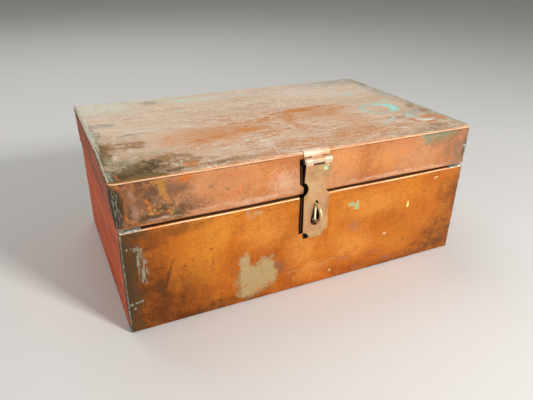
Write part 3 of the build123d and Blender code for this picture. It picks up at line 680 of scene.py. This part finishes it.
@dataclass(frozen=True)
class SheetCopper:
    """Old copper sheet on the outside of the body; its tones run from dark to light."""

    name: str = "body_copper_outside"
    plain: Tones = ((182, 92, 30), (216, 121, 39), (234, 147, 54))
    # Tones of the ends, made redder by a painted red reflection
    end: Tones = ((194, 80, 40), (218, 92, 48), (234, 118, 66))
    # Colour of the painted shade on the rim under the lid's edge
    neck_shade: Colour = (62, 38, 24)
    edge: Colour = (116, 112, 92)
    # Tilts between which the bends get a painted cream highlight
    rubbed: tuple[float, float] = (0.42, 0.8)
    bend_dullness: float = 0.4
    end_dullness: float = 0.6
    gloss: float = 0.2

    def base(self, bench: Bench) -> Layer:
        """Cloudy copper with ends reddened by a painted reflection, faint brushing and brown freckles.

        Args:
            bench: The bench that the material is laid on.

        Returns:
            The colour.
        """
        across = bench.facing["X"]
        end_clouds = bench.noise((20, 13, 95), 6, 0.62, 0.5, (7, 0, 0))
        end = end_clouds.ramp(*zip((0.33, 0.5, 0.66), self.end))
        upright = bench.noise((300, 300, 26), 6, 0.7, 0.6)
        slanted = bench.noise((30, 60, 420), 6, 0.7, 0.4, (0, 24, 0))
        freckles = bench.specks(115, 0.15, bench.wandering())
        colour = bench.noise(15, 8, 0.62, 0.5).ramp(*zip((0.32, 0.5, 0.68), self.plain))
        for tone, share in (
            # Painted red reflection on the ends: full on the left end, half on the right
            (end, across.step(-0.55, -0.9) | across.step(0.55, 0.9, 0, 0.5)),
            ((146, 82, 42), bench.noise(58, 9, 0.74, 0.6).step(0.5, 0.75, 0, 0.42)),
            ((238, 160, 86), upright.step(0.45, 0.8, 0, 0.3)),
            ((138, 76, 38), slanted.step(0.56, 0.8, 0, 0.35)),
            ((92, 54, 34), freckles * bench.noise(30).step(0.52, 0.62, 0, 0.6)),
        ):
            colour = colour.covered(tone, share)
        return colour

    def bends(self, coat: Coat) -> None:
        """Paint light and shade on the rubbed bends: a painted orange sheen above, a painted cream highlight in
        the middle and painted shade beneath.

        Args:
            coat: The coat of the bent sheet.
        """
        steep, flat = self.rubbed
        tilt = coat.bench.facing["Z"]
        curved = abs(coat.bench.facing["Y"]).step(0.12, 0.3)
        patchy = coat.bench.noise(60, 5, 0.7).step(0.3, 0.6, 0.3, 1)
        # Painted orange sheen above, painted shade beneath, and a painted cream highlight in the middle
        coat.cover((212, 130, 62), tilt.band(flat, 0.95, 0.04) * curved * patchy * 0.8)
        coat.cover((84, 52, 32), tilt.band(0.07, 0.36, 0.05) * patchy * 0.65)
        coat.cover((250, 212, 172), tilt.band(steep, flat, 0.06) * curved * patchy * 0.85)
        coat.dull = coat.dull | tilt.band(0.08, 0.95, 0.04) * curved * self.bend_dullness

    def close(self, coat: Coat) -> Material:
        """Turn a coat into a finished material.

        Args:
            coat: The coat with all its layers.

        Returns:
            The finished material.
        """
        # Painted shadow of the hasp's plate, with painted shade behind it
        HaspShadow().cover(coat)
        bench = coat.bench
        greys = ((214, 214, 214), (243, 243, 243), (255, 255, 255))
        speckle = bench.noise(430, 7, 0.75).ramp(*zip((0.3, 0.5, 0.7), greys))
        dull = coat.dull | abs(bench.facing["X"]).step(0.55, 0.9, 0, self.end_dullness)
        rough = bench.noise(35, 5, 0.6).step(0.3, 0.7, 0.32, 0.46) + dull * 0.34
        crust = coat.raised * bench.noise(700, 4, 0.7) * 0.5
        height = bench.noise(22, 3, 0.5) * 0.9 + bench.noise(420, 5, 0.65) * 0.07 + crust
        colour = coat.colour.covered(speckle, 1, "MULTIPLY")
        return bench.finish(colour, dull.step(0, 1, 0.66, 0.04), rough, height, 0.8 * MM, self.gloss)

    def build(self) -> Material:
        """Make the body's outside finish."""
        bench = Bench(self.name)
        coat = Coat(bench, self.base(bench), bench.nothing, bench.nothing)
        coat.stain(Side.FRONT, BODY_STAINS)
        height = bench.axis["Z"] + bench.wobble(CLOUD, 0.6 * MM)
        # Painted shade on the rim above the shelf, under the lid's edge
        coat.cover(self.neck_shade, height.step((SHELF_TOP + 0.2) * MM, (SHELF_TOP + 1.6) * MM, 0, 0.9), 0.6)
        drips = bench.grain(DRIP).step(0.2, 0.5, 0.2, 0.95)
        edge = bench.past("X", BODY_RIGHT - 1.6, BODY_RIGHT - 1)
        coat.cover(self.edge, edge * bench.on_front() * drips)
        self.bends(coat)
        # Painted shade on the back of the shelf and the foot of the rim, under the lid's edge
        inner = abs(bench.axis["Y"]).step((BODY_BACK - 1.5) * MM, (BODY_BACK - 2.3) * MM)
        inner = inner * abs(bench.axis["X"]).step((BODY_RIGHT - 1.5) * MM, (BODY_RIGHT - 2.3) * MM)
        low = height.step((LID_BOTTOM + 0.8) * MM, LID_BOTTOM * MM)
        coat.cover(PAINTED_SHADE, inner * bench.past("Z", SHELF_TOP - 0.6, SHELF_TOP - 0.2) * low * 0.95, 1)
        return self.close(coat)


@dataclass(frozen=True)
class Strokes:
    """Thin strokes on the lid's top: so many to the metre along and across, and how they run."""

    along: float
    across: float
    turn: float
    share: float
    colour: Colour

    def lie(self, bench: Bench) -> Layer:
        """Where the strokes lie: crisp and thin, in loose clusters."""
        turn = (0, 0, self.turn)
        run = bench.noise((self.along, self.across, self.across), 3, 0.55, 0.9, turn)
        clusters = bench.noise((18, 34, 34), 4, 0.6, 0, turn).step(0.42, 0.56)
        return run.step(0.54, 0.6, 0, self.share) * clusters


@dataclass(frozen=True)
class LidCopper(SheetCopper):
    """Copper of the lid: orange skirts under a pale, tarnished top."""

    name: str = "lid_copper_outside"
    plain: Tones = ((196, 116, 66), (214, 140, 90), (224, 160, 116))
    # Tones of the lid's ends, made redder by a painted red reflection
    end: Tones = ((142, 62, 38), (172, 78, 46), (196, 104, 66))
    crust: Tones = ((208, 174, 144), (222, 194, 168), (230, 210, 188))
    # Tilts between which the lid's bends get a painted cream highlight
    rubbed: tuple[float, float] = (0.42, 0.64)
    bend_dullness: float = 0.8
    brushing: tuple[Strokes, ...] = (
        Strokes(44, 330, 4, 0.45, (170, 118, 80)),
        Strokes(60, 420, -3, 0.7, (240, 222, 198)),
        Strokes(100, 380, 14, 0.55, (242, 226, 204)),
        Strokes(380, 90, 6, 0.5, (236, 214, 188)),
    )
    worn_patch: Blob = Blob(165, 78, 135, 66, 6)
    wear: tuple[Strokes, ...] = (
        Strokes(56, 300, 4, 0.8, (202, 124, 66)),
        Strokes(120, 420, 10, 0.7, (196, 112, 54)),
        Strokes(90, 460, 2, 0.75, (240, 220, 194)),
    )

    def top(self, bench: Bench) -> Coat:
        """Pale crust of the top, drawn out along the trunk, with its stains and strokes.

        Args:
            bench: The bench that the material is laid on.

        Returns:
            The coat of the top.
        """
        clouds = bench.noise((6, 16.8, 12), 8, 0.66, 0.4)
        streaks = bench.noise((16, 170, 170), 5, 0.68, 0.7, (0, 0, 2))
        colour = clouds.ramp(*zip((0.3, 0.5, 0.7), self.crust))
        coat = Coat(bench, colour, bench.nothing + 0.8, bench.nothing)
        coat.cover((214, 172, 136), streaks.step(0.5, 0.62, 0, 0.32))
        coat.stain(Side.TOP, TOP_STAINS)
        for strokes in self.brushing:
            coat.cover(strokes.colour, strokes.lie(bench))
        worn = bench.blob(Side.TOP, self.worn_patch).step(0, 0.45)
        for strokes in self.wear:
            coat.cover(strokes.colour, strokes.lie(bench) * worn)
        coat.stain(Side.TOP, TOP_CRUST)
        return coat

    def build(self) -> Material:
        """Make the lid's outside finish."""
        bench = Bench(self.name)
        coat = Coat(bench, self.base(bench), bench.nothing, bench.nothing)
        coat.stain(Side.FRONT, SKIRT_STAINS)
        self.bends(coat)
        top = self.top(bench)
        on_top = (bench.facing["Z"] + bench.grain(FINE).step(0.1, 0.9, -0.04, 0.04)).step(0.74, 0.84)
        coat.cover(top.colour, on_top)
        coat.dull = coat.dull + (top.dull - coat.dull) * on_top
        coat.raised = coat.raised + (top.raised - coat.raised) * on_top
        # Painted highlight along the lid's lower edge
        coat.cover((216, 130, 72), bench.past("Z", LID_BOTTOM + 1, LID_BOTTOM + 0.5, 0, 0.6))
        edge = bench.past("X", LID_RIGHT - 1.6, LID_RIGHT - 1) * bench.past("Z", 121, 117)
        coat.cover((182, 192, 178), edge * bench.on_front() * 0.9)
        height = bench.axis["Z"] + bench.wobble(CLOUD, 1.6 * MM)
        under_lip = height.step((LID_TOP - 3.5) * MM, (LID_TOP - 2.1) * MM, 0, 0.88)
        coat.cover((52, 54, 44), abs(bench.facing["X"]).step(0.6, 0.8) * under_lip, 1)
        return self.close(coat)


@dataclass(frozen=True)
class InnerCopper:
    """Dull brown copper of the inside."""

    name: str = "copper_inside"
    tones: Tones = ((112, 64, 40), (146, 86, 52), (168, 106, 66))
    bloom: Colour = (104, 84, 66)
    rub: Colour = (188, 118, 72)

    def build(self) -> Material:
        """Make the finish of the inside."""
        bench = Bench(self.name)
        clouds = bench.noise(20, 7, 0.62)
        colour = clouds.ramp(*zip((0.3, 0.52, 0.72), self.tones))
        colour = colour.covered(self.bloom, bench.noise(48, 8, 0.7).step(0.54, 0.74, 0, 0.55))
        rubbed = bench.noise((50, 420, 420), 5, 0.65)
        colour = colour.covered(self.rub, rubbed.step(0.5, 0.75, 0, 0.4))
        height = bench.noise(24, 3) + bench.noise(500) * 0.08
        return bench.finish(colour, 0.6, clouds.step(0.3, 0.7, 0.42, 0.6), height, 0.7 * MM)


@dataclass(frozen=True)
class SoftSolder:
    """Dull solder with a greenish bloom and brown flux; crust is a pale crust along its top, which on the lid's
    seam also serves as a painted highlight.
    """

    name: str = "dull_solder"
    tones: Tones = ((84, 84, 70), (142, 142, 126), (184, 186, 172))
    bloom: Colour = (136, 150, 122)
    flux: Colour = (78, 58, 38)
    flux_share: float = 0.8
    # Pale crust along the top, which also serves as a painted highlight
    crust: Colour | None = None

    def build(self) -> Material:
        """Make the solder's finish."""
        bench = Bench(self.name)
        clouds = bench.noise(190, 6, 0.65)
        flux = bench.noise(260, 5, 0.7).step(0.52, 0.66, 0, self.flux_share)
        colour = clouds.ramp(*zip((0.34, 0.52, 0.66), self.tones))
        colour = colour.covered(self.bloom, bench.noise(90, 5, 0.6).step(0.5, 0.68, 0, 0.6))
        colour = colour.covered(self.flux, flux)
        # Pale crust with a painted highlight along the top of the lid's seam
        if self.crust is not None:
            flecks = bench.noise(300, 5, 0.7).step(0.3, 0.7, -0.8 * MM, 0.8 * MM)
            high = (bench.axis["Z"] + flecks).step((LID_TOP - 0.9) * MM, (LID_TOP + 0.1) * MM, 0, 0.8)
            colour = colour.covered(self.crust, high)
        lumps = bench.noise(330, 4) + flux * 0.4
        return bench.finish(colour, 0.5, clouds.step(0.3, 0.7, 0.55, 0.36), lumps, 0.6 * MM)


@dataclass(frozen=True)
class OldBrass:
    """Tarnished brass; it can take a tone with a painted sheen on the barrel, painted light on the link behind
    the staple's loop and painted shade on its edges.
    """

    name: str
    tones: Tones
    blush: Colour
    metal: float = 0.75
    rough_low: float = 0.32
    rough_high: float = 0.5
    # Share of painted shade on the side edges and on the flats under the barrel
    painted_edge_shade: float = 0
    # Tone with a painted sheen over the barrel
    barrel: Colour | None = None
    # Painted light on the link behind the staple's loop, which the loop shades
    link: Colour | None = None
    spots: tuple[Stain, ...] = ()

    def build(self) -> Material:
        """Make the brass finish."""
        bench = Bench(self.name)
        clouds = bench.noise(85, 6, 0.62)
        coat = Coat(bench, clouds.ramp(*zip((0.3, 0.5, 0.7), self.tones)), bench.nothing, bench.nothing)
        coat.cover(self.blush, bench.noise(55).step(0.48, 0.66, 0, 0.55))
        coat.cover(self.tones[0], bench.noise((900, 900, 90), 4, 0.6).step(0.5, 0.8, 0, 0.3))
        # Tone with a painted sheen over the barrel
        if self.barrel is not None:
            coat.cover(self.barrel, bench.between("Z", BARREL_FOOT, BARREL_TOP, 0.5) * 0.8, 0.5 / 0.8)
        # Painted light on the link behind the staple's loop
        if self.link is not None:
            coat.cover(self.link, bench.between("Y", -111.8, -108.8, 0.4) * 0.9, 0.8 / 0.9)
        dots = bench.specks(330, 0.2) * bench.noise(120).step(0.5, 0.62, 0, 0.7)
        coat.cover((84, 62, 40), dots, 0.6)
        coat.stain(Side.FRONT, self.spots)
        # Painted shade on the side edges and on the flats under the barrel
        if self.painted_edge_shade > 0:
            flat = abs(bench.facing["Z"]).step(0.5, 0.8) * bench.past("Z", BARREL_FOOT, BARREL_FOOT - 0.8)
            edges = abs(bench.facing["X"]).step(0.45, 0.75) | flat
            coat.cover((44, 32, 20), edges * self.painted_edge_shade, 1)
        rough = clouds.step(0.3, 0.7, self.rough_high, self.rough_low) + coat.dull * 0.3
        height = bench.noise(160, 3) + bench.noise(900, 3) * 0.15
        metal = coat.dull.step(0, 1, self.metal, 0.1)
        return bench.finish(coat.colour, metal, rough, height, 0.3 * MM)


# --- Working the sheets ---

Cuts: TypeAlias = dict[str, list[float]]
Knock: TypeAlias = Callable[[Vector], Vector]


def steps(low: float, high: float, pitch: float) -> list[float]:
    """Even places between two ends, in millimetres, without the ends themselves."""
    count = max(int(round((high - low) / pitch)), 1)
    return [low + (high - low) * index / count for index in range(1, count)]


def both_ends(near: float, far: float, pitch: float) -> list[float]:
    """Even places between near and far on both sides of the middle."""
    return steps(-far, -near, pitch) + steps(near, far, pitch)


def slice_up(bm: bmesh.types.BMesh, cuts: Cuts) -> None:
    """Cut a mesh across at many places so that it can take a gentle bend.

    Args:
        bm: The mesh.
        cuts: Places along X, Y and Z in millimetres.
    """
    directions = {"x": Vector((1, 0, 0)), "y": Vector((0, 1, 0)), "z": Vector((0, 0, 1))}
    for axis, places in cuts.items():
        for place in places:
            normal = directions[axis]
            whole = bm.verts[:] + bm.edges[:] + bm.faces[:]
            bmesh.ops.bisect_plane(bm, geom=whole, dist=1e-7, plane_co=normal * place * MM, plane_no=normal)


def roughen(bm: bmesh.types.BMesh, pitch: float, depth: float, seed: float) -> None:
    """Give a mesh the lumps of solder laid by hand.

    Args:
        bm: The mesh.
        pitch: Size of a lump in millimetres.
        depth: How far the lumps stand out or in, in millimetres.
        seed: Shifts the pattern.
    """
    bm.normal_update()
    for vertex in bm.verts:
        place = vertex.co / (pitch * MM) + Vector((seed, seed, seed))
        vertex.co += vertex.normal * noise.noise(place) * depth * MM


def remade(node: str, name: str, cuts: Cuts, knocks: Sequence[Knock], sharp: float = 35.0,
           lumps: Triple | None = None) -> Piece:
    """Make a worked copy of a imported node, at the origin.

    Args:
        node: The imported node.
        name: The new piece's name.
        cuts: Where the copy is cut up so that it can bend.
        knocks: What shifts each place, first to last, in millimetres.
        sharp: Angle in degrees past which an edge stays crisp.
        lumps: Pitch, depth and seed of the lumps, where it is solder.

    Returns:
        The piece.
    """
    bm = bmesh.new()
    bm.from_mesh(bpy.data.objects[node].data)
    bmesh.ops.remove_doubles(bm, verts=bm.verts, dist=1e-6)
    slice_up(bm, cuts)
    for knock in knocks:
        for vertex in bm.verts:
            vertex.co += knock(vertex.co / MM) * MM
    if lumps is not None:
        roughen(bm, *lumps)
    mesh = bpy.data.meshes.new(name)
    bm.to_mesh(mesh)
    bm.free()
    mesh.shade_smooth()
    mesh.set_sharp_from_angle(angle=math.radians(sharp))
    piece = bpy.data.objects.new(name, mesh)
    bpy.context.scene.collection.objects.link(piece)
    return piece


def dress_both_sides(piece: Piece, outside: Material, inside: Material,
                     middle: float) -> None:
    """Give a sheet one finish on the faces that look outwards and another on the rest.

    Args:
        piece: The sheet.
        outside: Finish of its outer face and its edges.
        inside: Finish of its inner face.
        middle: Height of the middle of the space that the sheets enclose, in millimetres.
    """
    piece.data.materials.append(outside)
    piece.data.materials.append(inside)
    for polygon in piece.data.polygons:
        away = polygon.center - Vector((0.0, 0.0, middle * MM))
        outwards = Vector([math.copysign(1, part) for part in away])
        polygon.material_index = 1 if polygon.normal.dot(outwards) < -0.6 else 0


# --- Sub-assemblies ---


@dataclass
class LidKnocks:
    """The bends and knocks that the lid has taken, in millimetres."""

    corner_depth: float = 3.4
    crease_edge: float = 0.8
    crease_bulge: float = 7.4
    end_lean: float = 1.3
    front_lean: float = 1.2
    wave: float = 0.55
    top_sag: float = 0.5

    def ridge(self, rise: float) -> float:
        """Distance from the lid's left end to the crease of the knocked corner."""
        bulge = math.sin(math.pi * min(max(rise * 0.97 + 0.015, 0.0), 1.0)) ** 0.5
        return self.crease_edge + self.crease_bulge * bulge

    def __call__(self, place: Vector) -> Vector:
        """Shift of the lid at a place.

        Args:
            place: A place on the lid in millimetres.

        Returns:
            The shift in millimetres.
        """
        from_left = place.x - LID_LEFT
        from_right = LID_RIGHT - place.x
        from_front = place.y - LID_FRONT
        rise = (place.z - LID_BOTTOM) / (LID_TOP - LID_BOTTOM)
        inner_rise = min(max(rise, 0.0), 1.0)
        shift = Vector((0.0, 0.0, 0.0))
        lean = (self.end_lean + self.front_lean * (1.0 - ease(from_front, 0.0, 70.0))) * inner_rise
        shift.x -= lean * (1.0 - ease(from_left, 0.0, 34.0))
        ripple = (
            math.sin(place.x / 31.0 + 0.8) * 0.5
            + math.sin(place.x / 17.0 + 2.1) * 0.28
            + noise.noise(Vector((place.x / 40.0, 3.0, place.z / 22.0))) * 0.9
        )
        free = ease(abs(place.x - HASP_MIDDLE), 15.0, 32.0)
        free *= ease(from_left, 2.0, 26.0) * ease(from_right, 0.0, 20.0)
        low = 1.0 - ease(rise, 0.0, 0.95)
        shift.y += self.wave * ripple * (1.0 - ease(from_front, 3.0, 14.0)) * free * (0.25 + 0.75 * low)
        on_top = ease(rise, 0.85, 1.0)
        for inset in (from_front, LID_BACK - place.y, from_left, from_right):
            on_top *= ease(inset, 4.0, 40.0)
        shift.z += self.top_sag * (noise.noise(Vector((place.x / 70.0, place.y / 60.0, 1.0))) - 0.4) * on_top
        distance = max(from_left, from_front)
        crease = self.ridge(rise)
        if distance < crease:
            depth = self.corner_depth * (1.0 - distance / crease) * math.sin(math.pi * inner_rise) ** 0.7
            shift += Vector((0.5, 0.86, 0.0)) * depth
        return shift


@dataclass
class BodyKnocks:
    """The slight waves of the body's walls, in millimetres."""

    wall: float = 0.72
    end: float = 0.8
    shoulder: float = 0.22

    def __call__(self, place: Vector) -> Vector:
        """Shift of the body at a place.

        Args:
            place: A place on the body in millimetres.

        Returns:
            The shift in millimetres.
        """
        front = 1.0 - ease(place.y - BODY_FRONT, 3.0, 20.0)
        front *= ease(abs(place.x - HASP_MIDDLE), 14.0, 40.0) if place.z > STAPLE_HEIGHT - 60.0 else 1.0
        front *= ease(BODY_RIGHT - abs(place.x), 1.0, 30.0)
        left = (1.0 - ease(place.x - BODY_LEFT, 3.0, 20.0)) * ease(BODY_BACK - abs(place.y), 1.0, 30.0)
        upright = ease(place.z, 2.0, 20.0) * ease(SHELF_TOP - place.z, 0.0, 16.0)
        near_shelf = ease(place.z, 86.0, 95.0) * (1.0 - ease(place.z, 97.0, 99.0))
        return Vector((
            self.end * noise.noise(Vector((5.0, place.y / 50.0, place.z / 40.0))) * left * upright,
            self.wall * noise.noise(Vector((place.x / 55.0, 7.0, place.z / 40.0))) * front * upright,
            self.shoulder * math.sin(place.x / 24.0 + 1.0) * near_shelf * front,
        ))


@dataclass
class Body:
    """The copper trough, its ends and the solder that holds them."""

    pitch: float = 6.0
    solder_pitch: float = 1.5
    solder_rise: float = 2.0
    slope: float = 0.6
    middle: float = 48.0
    knocks: BodyKnocks = field(default_factory=BodyKnocks)
    pieces: list[Piece] = field(default_factory=list)

    def sheet(self, node: str, cuts: Cuts) -> Piece:
        """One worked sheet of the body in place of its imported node."""
        piece = remade(node, f"{node}_worked", cuts, [self.knocks])
        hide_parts(node)
        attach(piece, "box")
        self.pieces.append(piece)
        return piece

    def meniscus(self, place: Vector) -> Vector:
        """Let the solder on the shelf slope down towards its outer edge."""
        inset = min(BODY_RIGHT - abs(place.x), BODY_BACK - abs(place.y))
        height = max(place.z - SHELF_TOP, 0.0)
        return Vector((0.0, 0.0, -height * self.slope * (1.0 - ease(inset, 0.6, 4.2))))

    def solder(self, node: str, lumps: Triple, knocks: Sequence[Knock]) -> Piece:
        """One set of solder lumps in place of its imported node."""
        fine, rise = self.solder_pitch, self.solder_rise
        cuts = {"x": both_ends(150, 172, fine), "z": steps(0, 100, rise), "y": both_ends(92, 110, fine)}
        piece = remade(node, f"{node}_lumpy", cuts, knocks, 70.0, lumps)
        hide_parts(node)
        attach(piece, "box")
        self.pieces.append(piece)
        return piece

    def build(self, outside: Material, inside: Material, solder: Material,
              bright: Material) -> None:
        """Make and dress the body.

        Args:
            outside: Finish of the outer faces.
            inside: Finish of the inner faces.
            solder: Finish of the solder down the corners.
            bright: Finish of the solder on the shelf.
        """
        cuts = {"y": steps(-108, 108, self.pitch), "z": steps(0, 108, self.pitch)}
        sheets = [self.sheet("body_trough", {"x": steps(BODY_LEFT, BODY_RIGHT, self.pitch)} | cuts)]
        sheets += [self.sheet(node, cuts) for node in ("body_left_end", "body_right_end")]
        for piece in sheets:
            dress_both_sides(piece, outside, inside, self.middle)
        seams = self.solder("body_seam_solder", (2.6, 0.5, 4.0), [self.knocks])
        seams.data.materials.append(solder)
        shelf = self.solder("shelf_corner_solder", (3.2, 0.7, 4.0), [self.meniscus, self.knocks])
        shelf.data.materials.append(bright)


@dataclass
class Lid:
    """The lid's sheet, its ends and their solder."""

    pitch: float = 6.0
    corner_pitch: float = 1.3
    near_pitch: float = 3.0
    front_pitch: float = 1.6
    upright_pitch: float = 2.4
    middle: float = 85.0
    knocks: LidKnocks = field(default_factory=LidKnocks)
    pieces: list[Piece] = field(default_factory=list)

    def worked(self, node: str, sharp: float, lumps: Triple | None = None) -> Piece:
        """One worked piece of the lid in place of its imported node, cut finest at the knocked corner."""
        cuts = {
            "x": steps(LID_LEFT, -158, self.corner_pitch) + steps(-159, -130, self.near_pitch)
            + steps(-132, LID_RIGHT, self.pitch),
            "y": steps(LID_FRONT, -94, self.front_pitch) + steps(-94, LID_BACK, self.pitch),
            "z": steps(LID_BOTTOM, LID_TOP, self.upright_pitch),
        }
        piece = remade(node, f"{node}_worked", cuts, [self.knocks], sharp, lumps)
        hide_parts(node)
        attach(piece, "lid")
        self.pieces.append(piece)
        return piece

    def build(self, outside: Material, inside: Material, crust: Material) -> None:
        """Make and dress the lid.

        Args:
            outside: Finish of the outer faces.
            inside: Finish of the inner faces.
            crust: Finish of the solder.
        """
        for node in ("lid_sheet", "lid_left_end", "lid_right_end"):
            dress_both_sides(self.worked(node, 35.0), outside, inside, self.middle)
        self.worked("lid_seam_solder", 70.0, (2.4, 0.45, 9.0)).data.materials.append(crust)


@dataclass
class Fittings:
    """The hasp, the staple and the back hinges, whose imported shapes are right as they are."""

    hasp: tuple[str, ...] = ("hasp_plate", "hasp_pin")
    leaf: tuple[str, ...] = ("hasp_fixed_leaf", "hasp_leaf_solder")
    staple: tuple[str, ...] = ("staple",)
    hinges: tuple[str, ...] = (
        "staple_backing_plate", "hinge_body_rivets", "hinge_lid_rivets",
        *(f"{side}_hinge_{part}" for side in ("left", "right") for part in ("body_leaf", "lid_leaf", "pin")),
    )

    def dress(self, nodes: Sequence[str], finish: OldBrass) -> None:
        """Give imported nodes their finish."""
        material = finish.build()
        for node in nodes:
            mesh = bpy.data.objects[node].data
            mesh.materials.clear()
            mesh.materials.append(material)

    def build(self) -> None:
        """Make the brass finishes and dress every fitting."""
        worn = ((166, 124, 78), (200, 156, 106), (218, 180, 130))
        # The hasp gets painted shade on its edges and a tone with a painted sheen on its barrel
        self.dress(self.hasp, OldBrass("hasp_brass_worn", worn, (216, 160, 118), painted_edge_shade=0.95,
                                       barrel=(222, 196, 168), spots=HASP_SPOTS))
        pale = ((204, 160, 126), (218, 184, 152), (232, 208, 184))
        # The leaf carries a painted highlight and a painted reflection on its bend
        self.dress(self.leaf, OldBrass("leaf_brass_blended", pale, (220, 164, 122), 0.2, 0.5, 0.62,
                                       barrel=(206, 182, 154), spots=LEAF_PAINTED_LIGHT))
        wire = ((206, 174, 126), (234, 208, 162), (246, 228, 180))
        # The staple's link behind its loop gets painted light
        self.dress(self.staple, OldBrass("staple_brass_worn", wire, (222, 184, 130), 0.6, 0.36, 0.48,
                                         link=(255, 246, 200)))
        dark = ((122, 92, 56), (156, 120, 76), (178, 142, 94))
        self.dress(self.hinges, OldBrass("hinge_brass_dark", dark, (150, 104, 70), 0.7, 0.36, 0.54))


@dataclass
class Studio:
    """Pale floor, soft lamps and the camera, in metres and degrees."""

    floor_colour: Colour = (214, 212, 208)
    floor_reach: float = 8.0
    sky_colour: Colour = (245, 244, 242)
    sky_strength: float = 0.28
    lamps: tuple[tuple[str, Triple, float, float], ...] = (
        ("key_lamp", (0.54, -1.22, 0.78), 23.0, 0.26),
        ("fill_lamp", (-1.6, 0.1, 0.8), 5.0, 1.0),
        ("top_lamp", (-0.2, 0.9, 1.4), 9.0, 1.2),
    )
    look_at: Triple = (0.0, 0.0, 0.07)
    camera_place: Triple = (-0.21008, -0.44585, 0.28833)
    azimuth: float = -25.60
    elevation: float = 26.615
    roll: float = 0.9016
    lens: float = 33.868

    def floor(self) -> None:
        """Lay the floor."""
        bm = bmesh.new()
        bmesh.ops.create_grid(bm, x_segments=1, y_segments=1, size=self.floor_reach)
        mesh = bpy.data.meshes.new("floor")
        bm.to_mesh(mesh)
        bm.free()
        floor = bpy.data.objects.new("floor", mesh)
        bpy.context.scene.collection.objects.link(floor)
        material = bpy.data.materials.new("pale_floor")
        material.use_nodes = True
        shader = material.node_tree.nodes["Principled BSDF"]
        shader.inputs["Base Color"].default_value = linear(self.floor_colour)
        shader.inputs["Roughness"].default_value = 0.9
        mesh.materials.append(material)

    def lamp(self, name: str, place: Triple, watts: float, size: float) -> None:
        """Hang one square soft lamp that looks at the trunk.

        Args:
            name: The lamp's name.
            place: Where it hangs.
            watts: Its power.
            size: Its side.
        """
        data = bpy.data.lights.new(name, "AREA")
        data.energy = watts
        data.size = size
        lamp = bpy.data.objects.new(name, data)
        lamp.location = place
        lamp.rotation_euler = (Vector(self.look_at) - Vector(place)).to_track_quat("-Z", "Y").to_euler()
        bpy.context.scene.collection.objects.link(lamp)

    def camera(self) -> None:
        """Set up the camera."""
        data = bpy.data.cameras.new("camera")
        data.lens = self.lens
        data.sensor_width = 36.0
        data.clip_start = 0.01
        camera = bpy.data.objects.new("camera", data)
        camera.matrix_world = Matrix.Translation(self.camera_place)
        for angle, axis in ((self.azimuth, "Z"), (90.0 - self.elevation, "X"), (self.roll, "Z")):
            camera.matrix_world = camera.matrix_world @ Matrix.Rotation(math.radians(angle), 4, axis)
        bpy.context.scene.collection.objects.link(camera)
        bpy.context.scene.camera = camera

    def build(self) -> None:
        """Set up floor, lamps, world and camera."""
        self.floor()
        for lamp in self.lamps:
            self.lamp(*lamp)
        world = bpy.data.worlds.new("studio")
        bpy.context.scene.world = world
        world.use_nodes = True
        background = world.node_tree.nodes["Background"]
        background.inputs["Color"].default_value = linear(self.sky_colour)
        background.inputs["Strength"].default_value = self.sky_strength
        bpy.context.scene.view_settings.view_transform = "Standard"
        self.camera()


def main() -> None:
    """Build the whole scene."""
    logging.basicConfig(level=logging.INFO, format="%(name)s: %(message)s")
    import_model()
    inside = InnerCopper().build()
    bright = SoftSolder("shelf_solder", ((92, 88, 72), (184, 182, 166), (238, 236, 226)), flux_share=0.7)
    # The lid's solder gets a pale crust that also serves as a painted highlight along the lid's edge
    crusted = SoftSolder("lid_solder", ((62, 62, 48), (104, 104, 86), (182, 184, 166)), crust=(214, 206, 178))
    body = Body()
    body.build(SheetCopper().build(), inside, SoftSolder().build(), bright.build())
    lid = Lid()
    lid.build(LidCopper().build(), inside, crusted.build())
    Fittings().build()
    Studio().build()
    for piece in body.pieces + lid.pieces:
        LOG.info("%s: %d faces", piece.name, len(piece.data.polygons))


if __name__ == "__main__":
    main()
